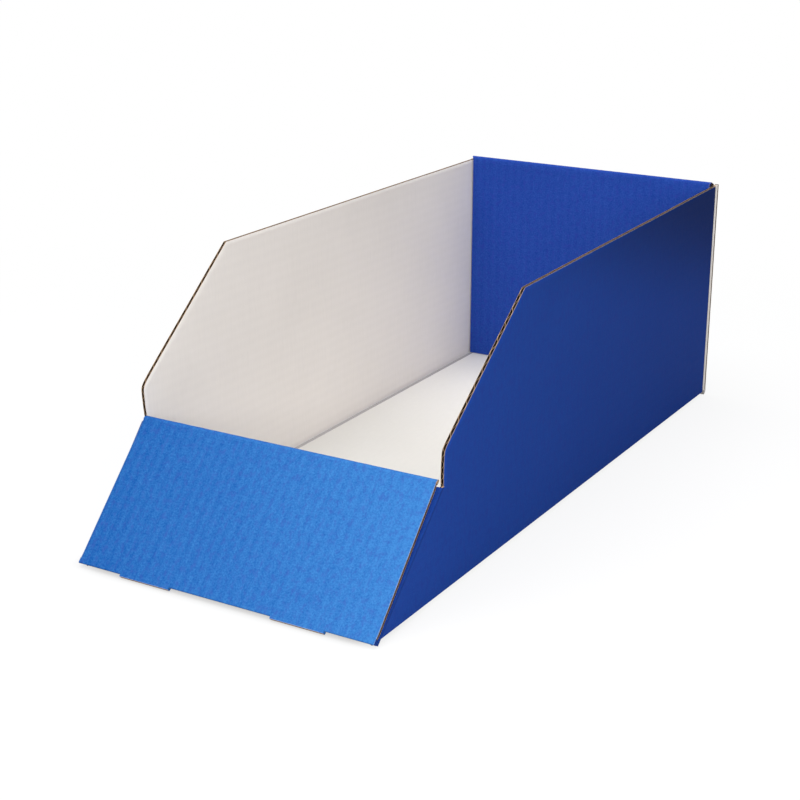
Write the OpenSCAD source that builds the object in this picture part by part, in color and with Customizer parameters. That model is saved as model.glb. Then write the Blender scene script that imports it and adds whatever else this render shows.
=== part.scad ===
// Open-front counter bin, die-cut from one sheet of fluted board and folded up.
// The back and the front are rolled over on themselves, with the side tabs held between
// their two layers. Each panel is laminated from three papers: a printed outside paper,
// a fluted middle and a white inside paper.
// Origin: middle of the base on the table. +X right, +Y to the back, +Z up.

/* [Bin] */
// Width over the side walls at the base
bin_w = 195; // [160:1:260]
// Length from the front corner to the outside of the back
bin_l = 470.6; // [400:1:600]
// Height of the side walls and the outer back
bin_h = 155.4; // [130:0.5:220]
// How far the rolled-over fold of the back stands above the walls
back_rise = 3; // [0:0.1:4]
// How far the free front ends of the side walls stand out, at the top of the slope
splay = 5.4; // [0:0.1:12]

/* [Board] */
// Thickness of the fluted board
board_t = 3; // [2.5:0.1:4]
// Thickness of the outside and inside papers
paper_t = 0.25; // [0.2:0.05:0.4]
// Thickness of the fluted paper
flute_t = 0.25; // [0.2:0.05:0.35]
// Distance from one flute to the next
flute_pitch = 6.5; // [5:0.1:9]
// Glue line between flutes and papers on the bowed side walls
glue_t = 0.08; // [0.06:0.01:0.15]

/* [Front ramp] */
// Angle of the front ramp to the table
ramp_angle = 46.7; // [42:0.1:60]
// Height of the top of the ramp
ramp_h = 71.7; // [55:0.1:80]
// Narrowing of the rolled fold, on each side, from the outer layer to the inner one
roll_taper = 6.5; // [4:0.1:9]
// Trim of the slot lips above the table
lip_clear = 2; // [0.4:0.1:2]

/* [Side walls] */
// Depth of the low front end of the wall, from the front corner
low_end_y = 68.1; // [60:0.1:76]
// Height where the slope starts
low_end_h = 87.6; // [80:0.5:100]
// Lean of the low front end, towards the back, per unit of height
low_end_lean = -0.08; // [-0.12:0.01:0.15]
// Depth where the slope reaches the top, from the front corner
top_end_y = 155.3; // [120:1:200]
// Softness of the bend between the low end and the slope
bend_soft = 3; // [1:0.5:6]

/* [Tabs and folds] */
// Width of the back tabs
back_tab_w = 56; // [40:1:70]
// Drop of the back tabs' top edge per unit of width
back_tab_drop = 0.6; // [0.55:0.01:0.9]
// Width of the front tabs
front_tab_w = 48; // [30:1:65]
// Drop of the front tabs' ends per unit of width
front_tab_drop = 0.35; // [0.2:0.01:0.5]
// Outside radius of the tight creases of the front tabs
crease_r = 1.7; // [1:0.1:2.3]
// Play between layers folded on each other
layer_gap = 0.3; // [0.2:0.05:0.5]
// Play round the folds that turn
fold_play = 0.2; // [0.15:0.05:0.3]
// Play between the rolled-over back and each side wall
side_play = 0.6; // [0.4:0.1:1]
// Play between the edge of a panel and the base under it
floor_play = 0.3; // [0.2:0.05:0.6]

/* [Locks] */
// Width of each lock tab
lock_w = 35; // [20:1:45]
// Distance of each lock tab's middle from the middle of the bin
lock_x = 50.5; // [35:0.5:55]
// Play of a lock tab in its slot
lock_play = 0.5; // [0.3:0.1:0.8]
// Height of the lock tabs' ends above the table
lock_clear = 0.5; // [0.3:0.1:1]

/* [Hidden] */
blue = "#1d5fc0";
white = "#e6e3e1";
kraft = "#a9845c";
$fn = 48;
steps = 8;

front_y = -bin_l / 2;
back_y = bin_l / 2;
half_w = bin_w / 2;
in_w = half_w - board_t;
flute_h = board_t - 2 * paper_t;
flute_swing = (flute_h - flute_t) / 2;
ramp_cos = cos(ramp_angle);
ramp_sin = sin(ramp_angle);
ramp_tan = tan(ramp_angle);
ramp_foot = board_t / tan(ramp_angle / 2);
ramp_len = ramp_h / ramp_sin;
ramp_end = ramp_len - board_t;
base_front_y = front_y + ramp_foot;
base_back_y = back_y - board_t;
sandwich = 3 * board_t + 2 * layer_gap;
fold_depth = board_t + layer_gap + crease_r;
tab_depth = 2 * board_t + layer_gap;
tab_face_y = back_y - tab_depth;
liner_face_y = back_y - sandwich;
turn_r = board_t / 2;
crown_y = back_y - turn_r;
crown_z = bin_h - turn_r;
roll_y = liner_face_y + turn_r;
roll_z = bin_h + back_rise - turn_r;
crown_lean = atan((roll_z - crown_z) / (crown_y - roll_y));
crown_len = norm([crown_y - roll_y, roll_z - crown_z]);
liner_top = roll_z - turn_r / tan((90 - crown_lean) / 2) - fold_play;
paper_top = roll_z - sqrt(turn_r * turn_r - (turn_r - paper_t) * (turn_r - paper_t)) - fold_play / 2;
roll_w = in_w - side_play;
liner_foot = board_t + floor_play;
front_liner_w = half_w - roll_taper;
slope_run = (top_end_y - low_end_y) / (bin_h - low_end_h);
wall_foot_y = wall_edge(board_t);

// One fold of the flutes, as a wave between -1 and 1 with flat crests
function wave(u) = max(-1, min(1, 1.25 * sin(360 * u / flute_pitch + 22.5)));

// The points along the flutes from a to b
function stations(a, b, n = steps) =
  let (d = flute_pitch / n, m = ceil((b - a) / d) - 1) concat([for (i = [0 : m]) a + i * d], [b]);

// The front edge of a side wall at height z: tab fold, low end, then the slope
function fold_edge(z) = front_y + z / ramp_tan + fold_depth / ramp_sin;
function low_edge(z) = front_y + low_end_y + (z - low_end_h) * low_end_lean;
function slope_edge(z) = front_y + low_end_y + (z - low_end_h) * slope_run;
function soft_max(a, b, r) = (a + b + sqrt((a - b) * (a - b) + r * r)) / 2;
function wall_edge(z) =
  z < low_end_h - 4 * bend_soft
    ? min(fold_edge(z), low_edge(z))
    : soft_max(low_edge(z), slope_edge(z), bend_soft);

// How far a side wall stands out at depth y and height z
function bow(y, z) =
  splay * (z - board_t) / (bin_h - board_t) * (tab_face_y - y) / (tab_face_y - front_y - top_end_y);

// Height where the fold of the front tab ends at the low end of the wall
notch_h =
  (low_end_y - low_end_h * low_end_lean - fold_depth / ramp_sin) / (1 / ramp_tan - low_end_lean);

// A profile drawn in Y and Z, carried along X about the middle
module along_x(w) {
  translate([-w / 2, 0, 0]) rotate([90, 0, 90]) linear_extrude(w) children();
}

// A slice of a round fold, from angle a to angle b
module slice(r, a, b) {
  mid = (a + b) / 2;
  intersection() {
    circle(r);
    polygon([[0, 0], 3 * r * [cos(a), sin(a)], 3 * r * [cos(mid), sin(mid)], 3 * r * [cos(b), sin(b)]]);
  }
}

// The fluted paper across x, running along y, in the middle of a board whose outside is z = 0
module flutes(x0, x1, y0, y1) {
  xs = stations(x0, x1);
  mid = -board_t / 2;
  top = [for (x = xs) [x, mid + flute_swing * wave(x - x0) + flute_t / 2]];
  low = [for (i = [len(xs) - 1 : -1 : 0]) [xs[i], mid + flute_swing * wave(xs[i] - x0) - flute_t / 2]];
  translate([0, y1, 0]) rotate([90, 0, 0]) linear_extrude(y1 - y0) polygon(concat(top, low));
}

// One layer of a flat board: outside paper on z = 0, flutes below it, inside paper last
module layer(kind, x0, x1, y0, y1) {
  if (kind == "outside")
    color(blue) translate([x0, y0, -paper_t]) cube([x1 - x0, y1 - y0, paper_t]);
  if (kind == "flutes") color(kraft) flutes(x0, x1, y0, y1);
  if (kind == "inside")
    color(white) translate([x0, y0, -board_t]) cube([x1 - x0, y1 - y0, paper_t]);
}

// The frame of the front ramp: x across, y up the slope, z out of the front
module on_ramp(depth = 0) {
  translate([0, front_y, 0]) rotate([ramp_angle, 0, 0]) translate([0, 0, -depth]) children();
}

// Takes the middle out of a layer above height y, where a fold of half width w begins
module clear_fold(w, y) {
  difference() {
    children();
    translate([-w - fold_play, y, -2 * board_t])
      cube([2 * (w + fold_play), 2 * board_t, 3 * board_t]);
  }
}

// The places of the two lock tabs
module at_locks() {
  for (side = [-1, 1]) translate([side * lock_x, 0, 0]) children();
}

// Slots of the base, at the front fold and under the rolled-over back
module lock_slots() {
  slot_w = lock_w + 2 * lock_play;
  front_slot_y = sandwich / ramp_sin + board_t / ramp_tan + lock_play;
  at_locks() {
    translate([-slot_w / 2, front_y - board_t, -board_t])
      cube([slot_w, front_slot_y + board_t, 3 * board_t]);
    translate([-slot_w / 2, liner_face_y - lock_play, -board_t])
      cube([slot_w, board_t + 2 * lock_play, 3 * board_t]);
  }
}

module base(kind) {
  difference() {
    mirror([0, 0, 1]) layer(kind, -in_w, in_w, base_front_y, base_back_y);
    lock_slots();
  }
}

// One paper of a side wall, as a sheet between the depths a and b in its thickness. Its
// lines run straight from the square back corner to the front end, which stands out.
module wall_sheet(zs, a, b) {
  n = len(zs);
  points = [
    for (i = [0 : n - 1], in = [a[i], b[i]], end = [0, 1])
      let (y = end == 0 ? wall_edge(zs[i]) : tab_face_y)
        [-half_w + in - bow(y, zs[i]), y, zs[i]]
  ];
  faces = concat(
    [[0, 2, 3], [0, 3, 1]],
    [for (i = [0 : n - 2], f = [
      [0, 1, 5], [0, 5, 4], [2, 7, 3], [2, 6, 7], [0, 4, 6], [0, 6, 2], [1, 3, 7], [1, 7, 5]
    ]) [for (k = f) 4 * i + k]],
    [[for (k = [0, 1, 3]) 4 * (n - 1) + k], [for (k = [0, 3, 2]) 4 * (n - 1) + k]]
  );
  polyhedron(points, faces, convexity = 10);
}

module left_wall(kind) {
  coarse = stations(board_t, bin_h, 2);
  fine = stations(board_t, bin_h);
  mid = board_t / 2;
  swing = flute_swing - glue_t;
  if (kind == "outside")
    color(blue) wall_sheet(coarse, [for (z = coarse) 0], [for (z = coarse) paper_t]);
  if (kind == "flutes")
    color(kraft)
      wall_sheet(
        fine,
        [for (z = fine) mid + swing * wave(z - board_t) - flute_t / 2],
        [for (z = fine) mid + swing * wave(z - board_t) + flute_t / 2]
      );
  if (kind == "inside")
    color(white)
      wall_sheet(coarse, [for (z = coarse) board_t - paper_t], [for (z = coarse) board_t]);
}

// Outer layer of the front: the blue ramp
module front_ramp(kind) {
  on_ramp() layer(kind, -half_w, half_w, ramp_foot, ramp_end);
}

// Inner layer of the front, rolled over the ramp, printed side inwards
module front_liner(kind) {
  foot = (liner_foot + sandwich * ramp_cos) / ramp_sin;
  on_ramp(sandwich)
    mirror([0, 0, 1]) layer(kind, -front_liner_w, front_liner_w, foot, ramp_end);
}

// The tab of the left wall that is folded in under the ramp
module left_front_tab(kind) {
  low = (liner_foot + tab_depth * ramp_cos) / ramp_sin + board_t;
  high = min(ramp_end - board_t, (notch_h + fold_depth * ramp_cos) / ramp_sin);
  taper = front_tab_drop * front_tab_w;
  function edge_x(s) =
    let (z = s * ramp_sin - fold_depth * ramp_cos) -in_w - bow(fold_edge(z), z);
  on_ramp(board_t + layer_gap)
    intersection() {
      rotate([0, 0, ramp_angle]) layer(kind, -bin_w, bin_w / 2, -bin_w / 2, bin_w);
      translate([0, 0, -2 * board_t])
        linear_extrude(3 * board_t)
          polygon([
            [edge_x(low), low], [-in_w + front_tab_w, low + taper],
            [-in_w + front_tab_w, high - taper], [edge_x(high), high]
          ]);
    }
}

// Outer layer of the back, with a small corner on each side of its fold
module back(kind) {
  translate([0, back_y, 0])
    rotate([90, 0, 180])
      clear_fold(roll_w, bin_h - board_t) layer(kind, -half_w, half_w, board_t, bin_h);
}

// Inner layer of the back, rolled over the top, printed side into the bin
module back_liner(kind) {
  top = kind == "outside" ? paper_top : liner_top;
  translate([0, liner_face_y, 0])
    rotate([90, 0, 0])
      layer(kind, -roll_w, roll_w, liner_foot, top);
}

// The tab of the left wall that stands between the two layers of the back
module left_back_tab(kind) {
  low = board_t + 2 * floor_play;
  high = bin_h - board_t - 2 * layer_gap;
  taper = back_tab_drop * back_tab_w;
  translate([-in_w + fold_play, tab_face_y + board_t, 0])
    rotate([-90, -90, 0])
      intersection() {
        layer(kind, low, high, 0, back_tab_w);
        translate([0, 0, -2 * board_t])
          linear_extrude(3 * board_t)
            polygon([[low, 0], [low + board_t, back_tab_w], [high - taper, back_tab_w], [high, 0]]);
      }
}

// Round folds along the base, centred on the inside corner
module left_base_fold() {
  color(blue)
    translate([0, tab_face_y, 0])
      rotate([90, 0, 0])
        linear_extrude(tab_face_y - wall_foot_y)
          translate([-in_w, board_t]) slice(board_t, 180, 270);
}

module front_base_fold() {
  color(white)
    difference() {
      along_x(bin_w) translate([base_front_y, board_t]) slice(board_t, 90 + ramp_angle, 270);
      lock_slots();
    }
}

module back_base_fold() {
  color(white)
    along_x(bin_w) translate([base_back_y, board_t]) slice(board_t, 270, 360);
}

// Tight crease between the left wall and its front tab, along the bowed edge
module left_front_fold() {
  low = (liner_foot + tab_depth * ramp_cos) / ramp_sin + board_t;
  high = min(ramp_end - board_t, (notch_h + fold_depth * ramp_cos) / ramp_sin);
  z_low = low * ramp_sin - fold_depth * ramp_cos;
  z_high = high * ramp_sin - fold_depth * ramp_cos;
  lean = atan((bow(fold_edge(z_high), z_high) - bow(fold_edge(z_low), z_low)) / (high - low));
  color(blue)
    on_ramp(fold_depth)
      translate([-in_w - bow(fold_edge(z_low), z_low), low, 0])
        rotate([-90, 0, lean])
          mirror([0, 1, 0])
            linear_extrude((high - low) / cos(lean)) {
              translate([crease_r - board_t, 0]) slice(crease_r, 90, 180);
              translate([crease_r - board_t, 0]) square([board_t - crease_r, crease_r]);
            }
}

// Round fold between the left wall and its back tab, which leaves a bare white line
module left_back_fold() {
  color(white)
    translate([-in_w, tab_face_y, board_t])
      linear_extrude(bin_h - board_t) slice(board_t, 90, 180);
}

// Two folds over the top of the ramp, cut narrower towards the inner layer
module front_top_fold() {
  gap = sandwich - 2 * board_t;
  color(blue)
    intersection() {
      on_ramp(sandwich - board_t)
        along_x(bin_w) {
          translate([ramp_end, gap]) slice(board_t, 0, 90);
          translate([ramp_end, 0]) square([board_t, gap]);
          translate([ramp_end, 0]) slice(board_t, -90, 0);
        }
      on_ramp()
        translate([0, ramp_end + 2 * board_t, 0])
          rotate([90, 0, 0])
            linear_extrude(3 * board_t)
              polygon([
                [-half_w, 0], [half_w, 0], [front_liner_w, -sandwich], [-front_liner_w, -sandwich]
              ]);
    }
}

// The top of the outer back, rounded about the line on which the crown turns
module back_top_fold() {
  color(blue)
    along_x(2 * roll_w) {
      translate([crown_y, crown_z]) circle(turn_r);
      translate([back_y - board_t, bin_h - board_t]) square([board_t, turn_r]);
    }
}

// The narrow strip over the tabs, from the fold of the outer back up to the fold of the liner
module back_crown() {
  color(blue)
    along_x(2 * roll_w)
      difference() {
        translate([crown_y, crown_z])
          rotate(-crown_lean) {
            translate([-crown_len, 0]) circle(turn_r);
            translate([-crown_len, -turn_r]) square([crown_len, board_t]);
          }
        translate([crown_y, crown_z]) circle(turn_r + fold_play);
        translate([crown_y - turn_r - fold_play, crown_z - 2 * board_t])
          square(2 * board_t);
      }
}

// Ends of the ramp that stand past its fold, in front of the lock slots
module front_slot_lips() {
  foot = [front_y + ramp_foot * ramp_cos, ramp_foot * ramp_sin];
  inner = board_t * [ramp_sin, -ramp_cos];
  cut_out = [front_y + lip_clear / ramp_tan, lip_clear];
  cut_in = [front_y + lip_clear / ramp_tan + board_t / ramp_sin, lip_clear];
  color(blue) at_locks() along_x(lock_w) polygon([foot, cut_out, cut_in, foot + inner]);
}

module front_lock_tabs() {
  foot = (liner_foot + sandwich * ramp_cos) / ramp_sin;
  tip = (lock_clear + sandwich * ramp_cos) / ramp_sin;
  color(blue)
    on_ramp(sandwich) at_locks() translate([-lock_w / 2, tip, 0]) cube([lock_w, foot - tip, board_t]);
}

module back_lock_tabs() {
  color(blue)
    at_locks()
      translate([-lock_w / 2, liner_face_y, lock_clear]) cube([lock_w, board_t, liner_foot - lock_clear]);
}

module opposite() {
  mirror([1, 0, 0]) children();
}

base("outside");  // base_outside_paper
base("flutes");  // base_flutes
base("inside");  // base_inside_paper
left_wall("outside");  // left_wall_outside_paper
left_wall("flutes");  // left_wall_flutes
left_wall("inside");  // left_wall_inside_paper
opposite() left_wall("outside");  // right_wall_outside_paper
opposite() left_wall("flutes");  // right_wall_flutes
opposite() left_wall("inside");  // right_wall_inside_paper
front_ramp("outside");  // front_ramp_outside_paper
front_ramp("flutes");  // front_ramp_flutes
front_ramp("inside");  // front_ramp_inside_paper
front_liner("outside");  // front_liner_outside_paper
front_liner("flutes");  // front_liner_flutes
front_liner("inside");  // front_liner_inside_paper
left_front_tab("outside");  // left_front_tab_outside_paper
left_front_tab("flutes");  // left_front_tab_flutes
left_front_tab("inside");  // left_front_tab_inside_paper
opposite() left_front_tab("outside");  // right_front_tab_outside_paper
opposite() left_front_tab("flutes");  // right_front_tab_flutes
opposite() left_front_tab("inside");  // right_front_tab_inside_paper
back("outside");  // back_outside_paper
back("flutes");  // back_flutes
back("inside");  // back_inside_paper
back_liner("outside");  // back_liner_outside_paper
back_liner("flutes");  // back_liner_flutes
back_liner("inside");  // back_liner_inside_paper
left_back_tab("outside");  // left_back_tab_outside_paper
left_back_tab("flutes");  // left_back_tab_flutes
left_back_tab("inside");  // left_back_tab_inside_paper
opposite() left_back_tab("outside");  // right_back_tab_outside_paper
opposite() left_back_tab("flutes");  // right_back_tab_flutes
opposite() left_back_tab("inside");  // right_back_tab_inside_paper
left_base_fold();
opposite() left_base_fold();  // right_base_fold
front_base_fold();
back_base_fold();
left_front_fold();
opposite() left_front_fold();  // right_front_fold
left_back_fold();
opposite() left_back_fold();  // right_back_fold
front_top_fold();
back_top_fold();
back_crown();
front_slot_lips();
front_lock_tabs();
back_lock_tabs();
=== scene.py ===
"""Looks of an open-front counter bin, folded up from one sheet of fluted board.

Every panel is laminated the way the real board is: a printed paper, a fluted paper and a
white paper, each cut out flat, pressed at its edges and then set where the frame has it.
Lengths are in millimetres until a point is placed, and in metres after that.
"""

from __future__ import annotations

import logging
import math
from collections.abc import Callable
from dataclasses import dataclass, field
from enum import Enum

import bmesh
import bpy
from mathutils import Matrix, Quaternion, Vector, noise


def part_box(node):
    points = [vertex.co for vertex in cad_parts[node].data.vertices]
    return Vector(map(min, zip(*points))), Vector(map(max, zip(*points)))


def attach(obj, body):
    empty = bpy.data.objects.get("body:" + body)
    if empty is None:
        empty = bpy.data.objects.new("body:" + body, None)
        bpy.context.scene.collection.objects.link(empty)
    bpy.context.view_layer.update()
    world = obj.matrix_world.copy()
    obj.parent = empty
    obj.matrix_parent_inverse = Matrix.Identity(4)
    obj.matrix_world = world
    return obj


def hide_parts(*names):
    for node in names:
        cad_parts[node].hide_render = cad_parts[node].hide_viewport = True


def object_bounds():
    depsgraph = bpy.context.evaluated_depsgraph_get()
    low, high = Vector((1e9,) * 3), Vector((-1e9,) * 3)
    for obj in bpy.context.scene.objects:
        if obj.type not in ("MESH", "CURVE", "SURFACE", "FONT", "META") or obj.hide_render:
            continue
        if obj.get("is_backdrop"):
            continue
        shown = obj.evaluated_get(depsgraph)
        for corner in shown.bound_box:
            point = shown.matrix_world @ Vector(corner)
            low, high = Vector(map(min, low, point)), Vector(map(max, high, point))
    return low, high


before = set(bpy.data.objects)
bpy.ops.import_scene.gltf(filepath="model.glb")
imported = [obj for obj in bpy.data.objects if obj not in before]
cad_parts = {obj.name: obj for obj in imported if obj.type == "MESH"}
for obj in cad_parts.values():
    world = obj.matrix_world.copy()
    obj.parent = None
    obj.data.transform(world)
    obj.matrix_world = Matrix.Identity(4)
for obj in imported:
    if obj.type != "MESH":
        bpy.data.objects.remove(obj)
CAD_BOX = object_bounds()

MM = 0.001
LOG = logging.getLogger("counter_bin")

Point = tuple[float, float]
Colour = tuple[float, float, float]
Grain = tuple[float, float, float]
Spot = tuple[float, float, float]
Place = Callable[[float, float, float], Vector]
Drawing = Callable[[float, float], Point]
Mesh = bmesh.types.BMesh
Piece = bpy.types.Object
Material = bpy.types.Material
Socket = bpy.types.NodeSocket


class Side(Enum):
    """The two sides of the bin, as the sign of X."""

    LEFT = -1
    RIGHT = 1

    @property
    def word(self) -> str:
        """The side's name, as the frame's node names start."""
        return self.name.lower()


class Layer(Enum):
    """The three papers of the board, by the ends of their node names."""

    OUTSIDE = "outside_paper"
    FLUTES = "flutes"
    INSIDE = "inside_paper"


class Rim(Enum):
    """What happens to the board along a side of a panel."""

    CUT = "cut"
    FOLD = "fold"


# Finishes


class Graph:
    """A material's nodes, added and linked one after another."""

    def __init__(self, name: str) -> None:
        """Start a material that has only its shader.

        Args:
            name: The material's name.
        """
        self.material = bpy.data.materials.new(name)
        self.material.use_nodes = True
        self.tree = self.material.node_tree
        self.shader = self.tree.nodes["Principled BSDF"]

    def add(self, kind: str, values: dict | None = None, **settings: object) -> bpy.types.Node:
        """Add a node.

        Args:
            kind: The node's type, without its common start.
            values: What each input is set or linked to, by its name or number.
            **settings: The node's own settings.

        Returns:
            The node.
        """
        node = self.tree.nodes.new("ShaderNode" + kind)
        for key, value in settings.items():
            setattr(node, key, value)
        for key, value in (values or {}).items():
            self.feed(node.inputs[key], value)
        return node

    def feed(self, socket: Socket, value: object) -> None:
        """Set an input, or link it.

        Args:
            socket: The input.
            value: A number, a colour, or another node's output.
        """
        if isinstance(value, Socket):
            self.tree.links.new(value, socket)
        else:
            socket.default_value = value

    def math(self, operation: str, *values: object, clamp: bool = False) -> Socket:
        """Work out one number from others.

        Args:
            operation: What is done to them.
            *values: Numbers or outputs.
            clamp: Whether the result stays between 0 and 1.

        Returns:
            The result's output.
        """
        node = self.add("Math", dict(enumerate(values)), operation=operation, use_clamp=clamp)
        return node.outputs[0]

    def summed(self, *patterns: tuple[Socket, float]) -> Socket:
        """Add up patterns about their middles.

        Args:
            *patterns: Each pattern, which lies about a half, and its weight.

        Returns:
            The sum's output, which lies about 0.
        """
        total = None
        for pattern, weight in patterns:
            off = self.math("SUBTRACT", pattern, 0.5)
            if total is None:
                total = self.math("MULTIPLY", off, weight)
            else:
                total = self.math("MULTIPLY_ADD", off, weight, total)
        return total

    def mix(self, factor: object, a: object, b: object) -> Socket:
        """Mix two colours.

        Args:
            factor: How much of the second.
            a: The first colour.
            b: The second colour.

        Returns:
            The mixed colour's output.
        """
        return self.add("Mix", {0: factor, 6: a, 7: b}, data_type="RGBA").outputs[2]

    def noise(self, vector: object, grain: Grain) -> Socket:
        """Add a noise.

        Args:
            vector: Where it is read.
            grain: Its scale per millimetre, how many finer octaves it has, and how strong
                these are.

        Returns:
            The noise's strength, about a half on average.
        """
        scale, detail, rough = grain
        values = {"Vector": vector, "Scale": scale, "Detail": detail, "Roughness": rough}
        return self.add("TexNoise", values).outputs["Fac"]

    def band(self, value: object, low: float, high: float) -> Socket:
        """Turn a number into 0 below a limit and 1 above another, smoothly.

        Args:
            value: The number.
            low: Where it starts to rise.
            high: Where it is full.

        Returns:
            The share's output.
        """
        node = self.add(
            "MapRange",
            {"Value": value, "From Min": low, "From Max": high},
            interpolation_type="SMOOTHSTEP",
        )
        return node.outputs[0]

    def stretched(self, vector: object, across: float, along: float) -> Socket:
        """Draw a pattern out.

        Args:
            vector: The coordinates.
            across: The scale across the flutes.
            along: The scale along them.

        Returns:
            The coordinates' output.
        """
        return self.add("Mapping", {"Vector": vector, "Scale": (across, along, 1.0)}).outputs[0]

    def place_mm(self, on_solid: bool = False) -> Socket:
        """Coordinates in millimetres.

        Args:
            on_solid: Whether they are the object's, for solids taken over from the frame, or
                the sheet's own, across the flutes and along them.

        Returns:
            The coordinates' output.
        """
        coords = self.add("TexCoord").outputs["Object" if on_solid else "UV"]
        return self.add("Mapping", {"Vector": coords, "Scale": (1 / MM,) * 3}).outputs[0]

    def ribs(self, vector: object, pitch: float) -> Socket:
        """The faint lines in which the flutes show through a paper.

        Args:
            vector: Coordinates in millimetres, of which the first is across the flutes.
            pitch: The distance from flute to flute.

        Returns:
            The lines' strength.
        """
        wave = self.add(
            "TexWave",
            {
                "Vector": vector,
                "Scale": math.tau / (20 * pitch),
                "Distortion": 0.35,
                "Detail": 1.0,
                "Detail Scale": 0.4,
            },
            wave_type="BANDS",
            bands_direction="X",
        )
        return wave.outputs["Fac"]

    def worn(self, vector: object, reach: float) -> Socket:
        """How much an edge is rubbed, from the distance to it that the mesh carries.

        Args:
            vector: Coordinates in millimetres.
            reach: How far the wear comes in.

        Returns:
            The share's output.
        """
        distance = self.add("Attribute", attribute_name="rim").outputs["Fac"]
        ragged = self.math("MULTIPLY", self.noise(vector, (0.5, 4.0, 0.7)), 2.2 * reach)
        return self.band(self.math("SUBTRACT", ragged, distance), 0.0, reach)

    def bump(self, height: object, strength: float, depth: float) -> None:
        """Raise the surface by a pattern.

        Args:
            height: The pattern.
            strength: The bump's strength.
            depth: The pattern's height in millimetres.
        """
        values = {"Height": height, "Strength": strength, "Distance": depth * MM}
        self.feed(self.shader.inputs["Normal"], self.add("Bump", values).outputs[0])

    def matt(self, colour: object, roughness: object, gloss: float) -> None:
        """Set how the surface looks.

        Args:
            colour: Its colour.
            roughness: Its roughness.
            gloss: Its specular level, which is a half on a plain surface.
        """
        self.feed(self.shader.inputs["Base Color"], colour)
        self.feed(self.shader.inputs["Roughness"], roughness)
        self.feed(self.shader.inputs["Specular IOR Level"], gloss)


@dataclass(frozen=True)
class Ink:
    """A blue ink where it lies full, thin and with a violet cast."""

    full: Colour = (0.030, 0.120, 0.480)
    thin: Colour = (0.050, 0.190, 0.600)
    violet: Colour = (0.060, 0.110, 0.500)


# One blue ink in three copies with light and shade painted in: lighter on the ramp, which faces the
# lamps, and painted shade on the side walls and on the back.
RAMP_LIT_INK = Ink((0.0060, 0.092, 0.375), (0.0480, 0.215, 0.555), (0.042, 0.090, 0.395))
WALL_SHADED_INK = Ink((0.0072, 0.043, 0.272), (0.0150, 0.070, 0.375), (0.0180, 0.042, 0.290))
BACK_SHADED_INK = Ink((0.0100, 0.048, 0.330), (0.0300, 0.092, 0.450), (0.0300, 0.046, 0.370))


@dataclass(frozen=True)
class PrintedPaper:
    """White paper with a flat blue print, which lies unevenly over the flutes."""

    name: str
    ink: Ink = Ink()
    bare: Colour = (0.62, 0.60, 0.58)
    pitch: float = 6.5
    ribs: float = 0.13
    mottle: float = 1.0
    wear: float = 0.22
    drawn: tuple[float, float] = (1.0, 0.65)
    drift: tuple[float, float] = (0.0, 0.0)
    dusk: tuple[float, float, float] | None = None
    dusk_share: float = 0.68
    bare_below: float = 0.0
    bare_board: Colour = (0.60, 0.53, 0.46)
    gloss: float = 0.045
    streaks: Grain = (0.22, 4.0, 0.6)
    grain: Grain = (0.55, 3.0, 0.6)
    fine: Grain = (0.9, 3.0, 0.7)
    cloud: Grain = (0.012, 2.0, 0.55)
    cast: Grain = (0.35, 4.0, 0.65)
    pores: Grain = (2.6, 3.0, 0.6)
    on_solid: bool = False

    def material(self) -> Material:
        """Make the print's material.

        Returns:
            The material.
        """
        g = Graph(self.name)
        here = g.place_mm(self.on_solid)
        ribs = g.ribs(here, self.pitch)
        drawn = g.stretched(here, *self.drawn)
        streaks, grain = g.noise(drawn, self.streaks), g.noise(drawn, self.grain)
        fine, cloud = g.noise(here, self.fine), g.noise(here, self.cloud)
        share = g.summed(
            (streaks, 0.4 * self.mottle), (grain, 0.5 * self.mottle), (fine, 1.5 * self.mottle),
            (cloud, 0.3), (ribs, self.ribs),
        )
        # Painted light: the print grows lighter across the panel, along the given slope.
        if any(self.drift):
            painted_light_share = g.add("VectorMath", {0: here, 1: (*self.drift, 0)}, operation="DOT_PRODUCT")
            share = g.math("ADD", share, painted_light_share.outputs["Value"])
        share = g.math("ADD", share, 0.5, clamp=True)
        colour = g.mix(share, (*self.ink.full, 1), (*self.ink.thin, 1))
        cast = g.band(g.noise(drawn, self.cast), 0.46, 0.70)
        colour = g.mix(g.math("MULTIPLY", cast, 0.5), colour, (*self.ink.violet, 1))
        # Painted shade: beyond a line across the panel the print darkens towards a deep navy; on
        # the walls this is towards their top at the back.
        if self.dusk:
            across, along, start = self.dusk
            reach = g.add("VectorMath", {0: here, 1: (across, along, 0)}, operation="DOT_PRODUCT")
            painted_shade_mask = g.band(reach.outputs["Value"], start, start + 1)
            deep = tuple(0.2 * c for c in self.ink.full)
            colour = g.mix(g.math("MULTIPLY", painted_shade_mask, self.dusk_share), colour, (*deep, 1))
        specks = g.band(fine, 0.68, 0.80)
        colour = g.mix(g.math("MULTIPLY", specks, 0.06), colour, (*self.bare, 1))
        if not self.on_solid:
            worn = g.math("MULTIPLY", g.worn(here, 0.5), self.wear)
            colour = g.mix(worn, colour, (*self.bare, 1))
        if self.bare_below:
            height = g.add("SeparateXYZ", {0: g.place_mm(on_solid=True)}).outputs["Z"]
            ragged = g.math("MULTIPLY_ADD", g.noise(here, (0.4, 2.0, 0.55)), 0.3, height)
            bare = g.band(ragged, self.bare_below + 0.25, self.bare_below)
            colour = g.mix(bare, colour, (*self.bare_board, 1))
        g.matt(colour, g.math("MULTIPLY_ADD", grain, 0.2, 0.50), self.gloss)
        height = g.math("MULTIPLY", ribs, 1.6 * self.ribs)
        g.bump(g.math("MULTIPLY_ADD", g.noise(drawn, self.pores), 0.22, height), 0.3, 0.10)
        return g.material


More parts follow.
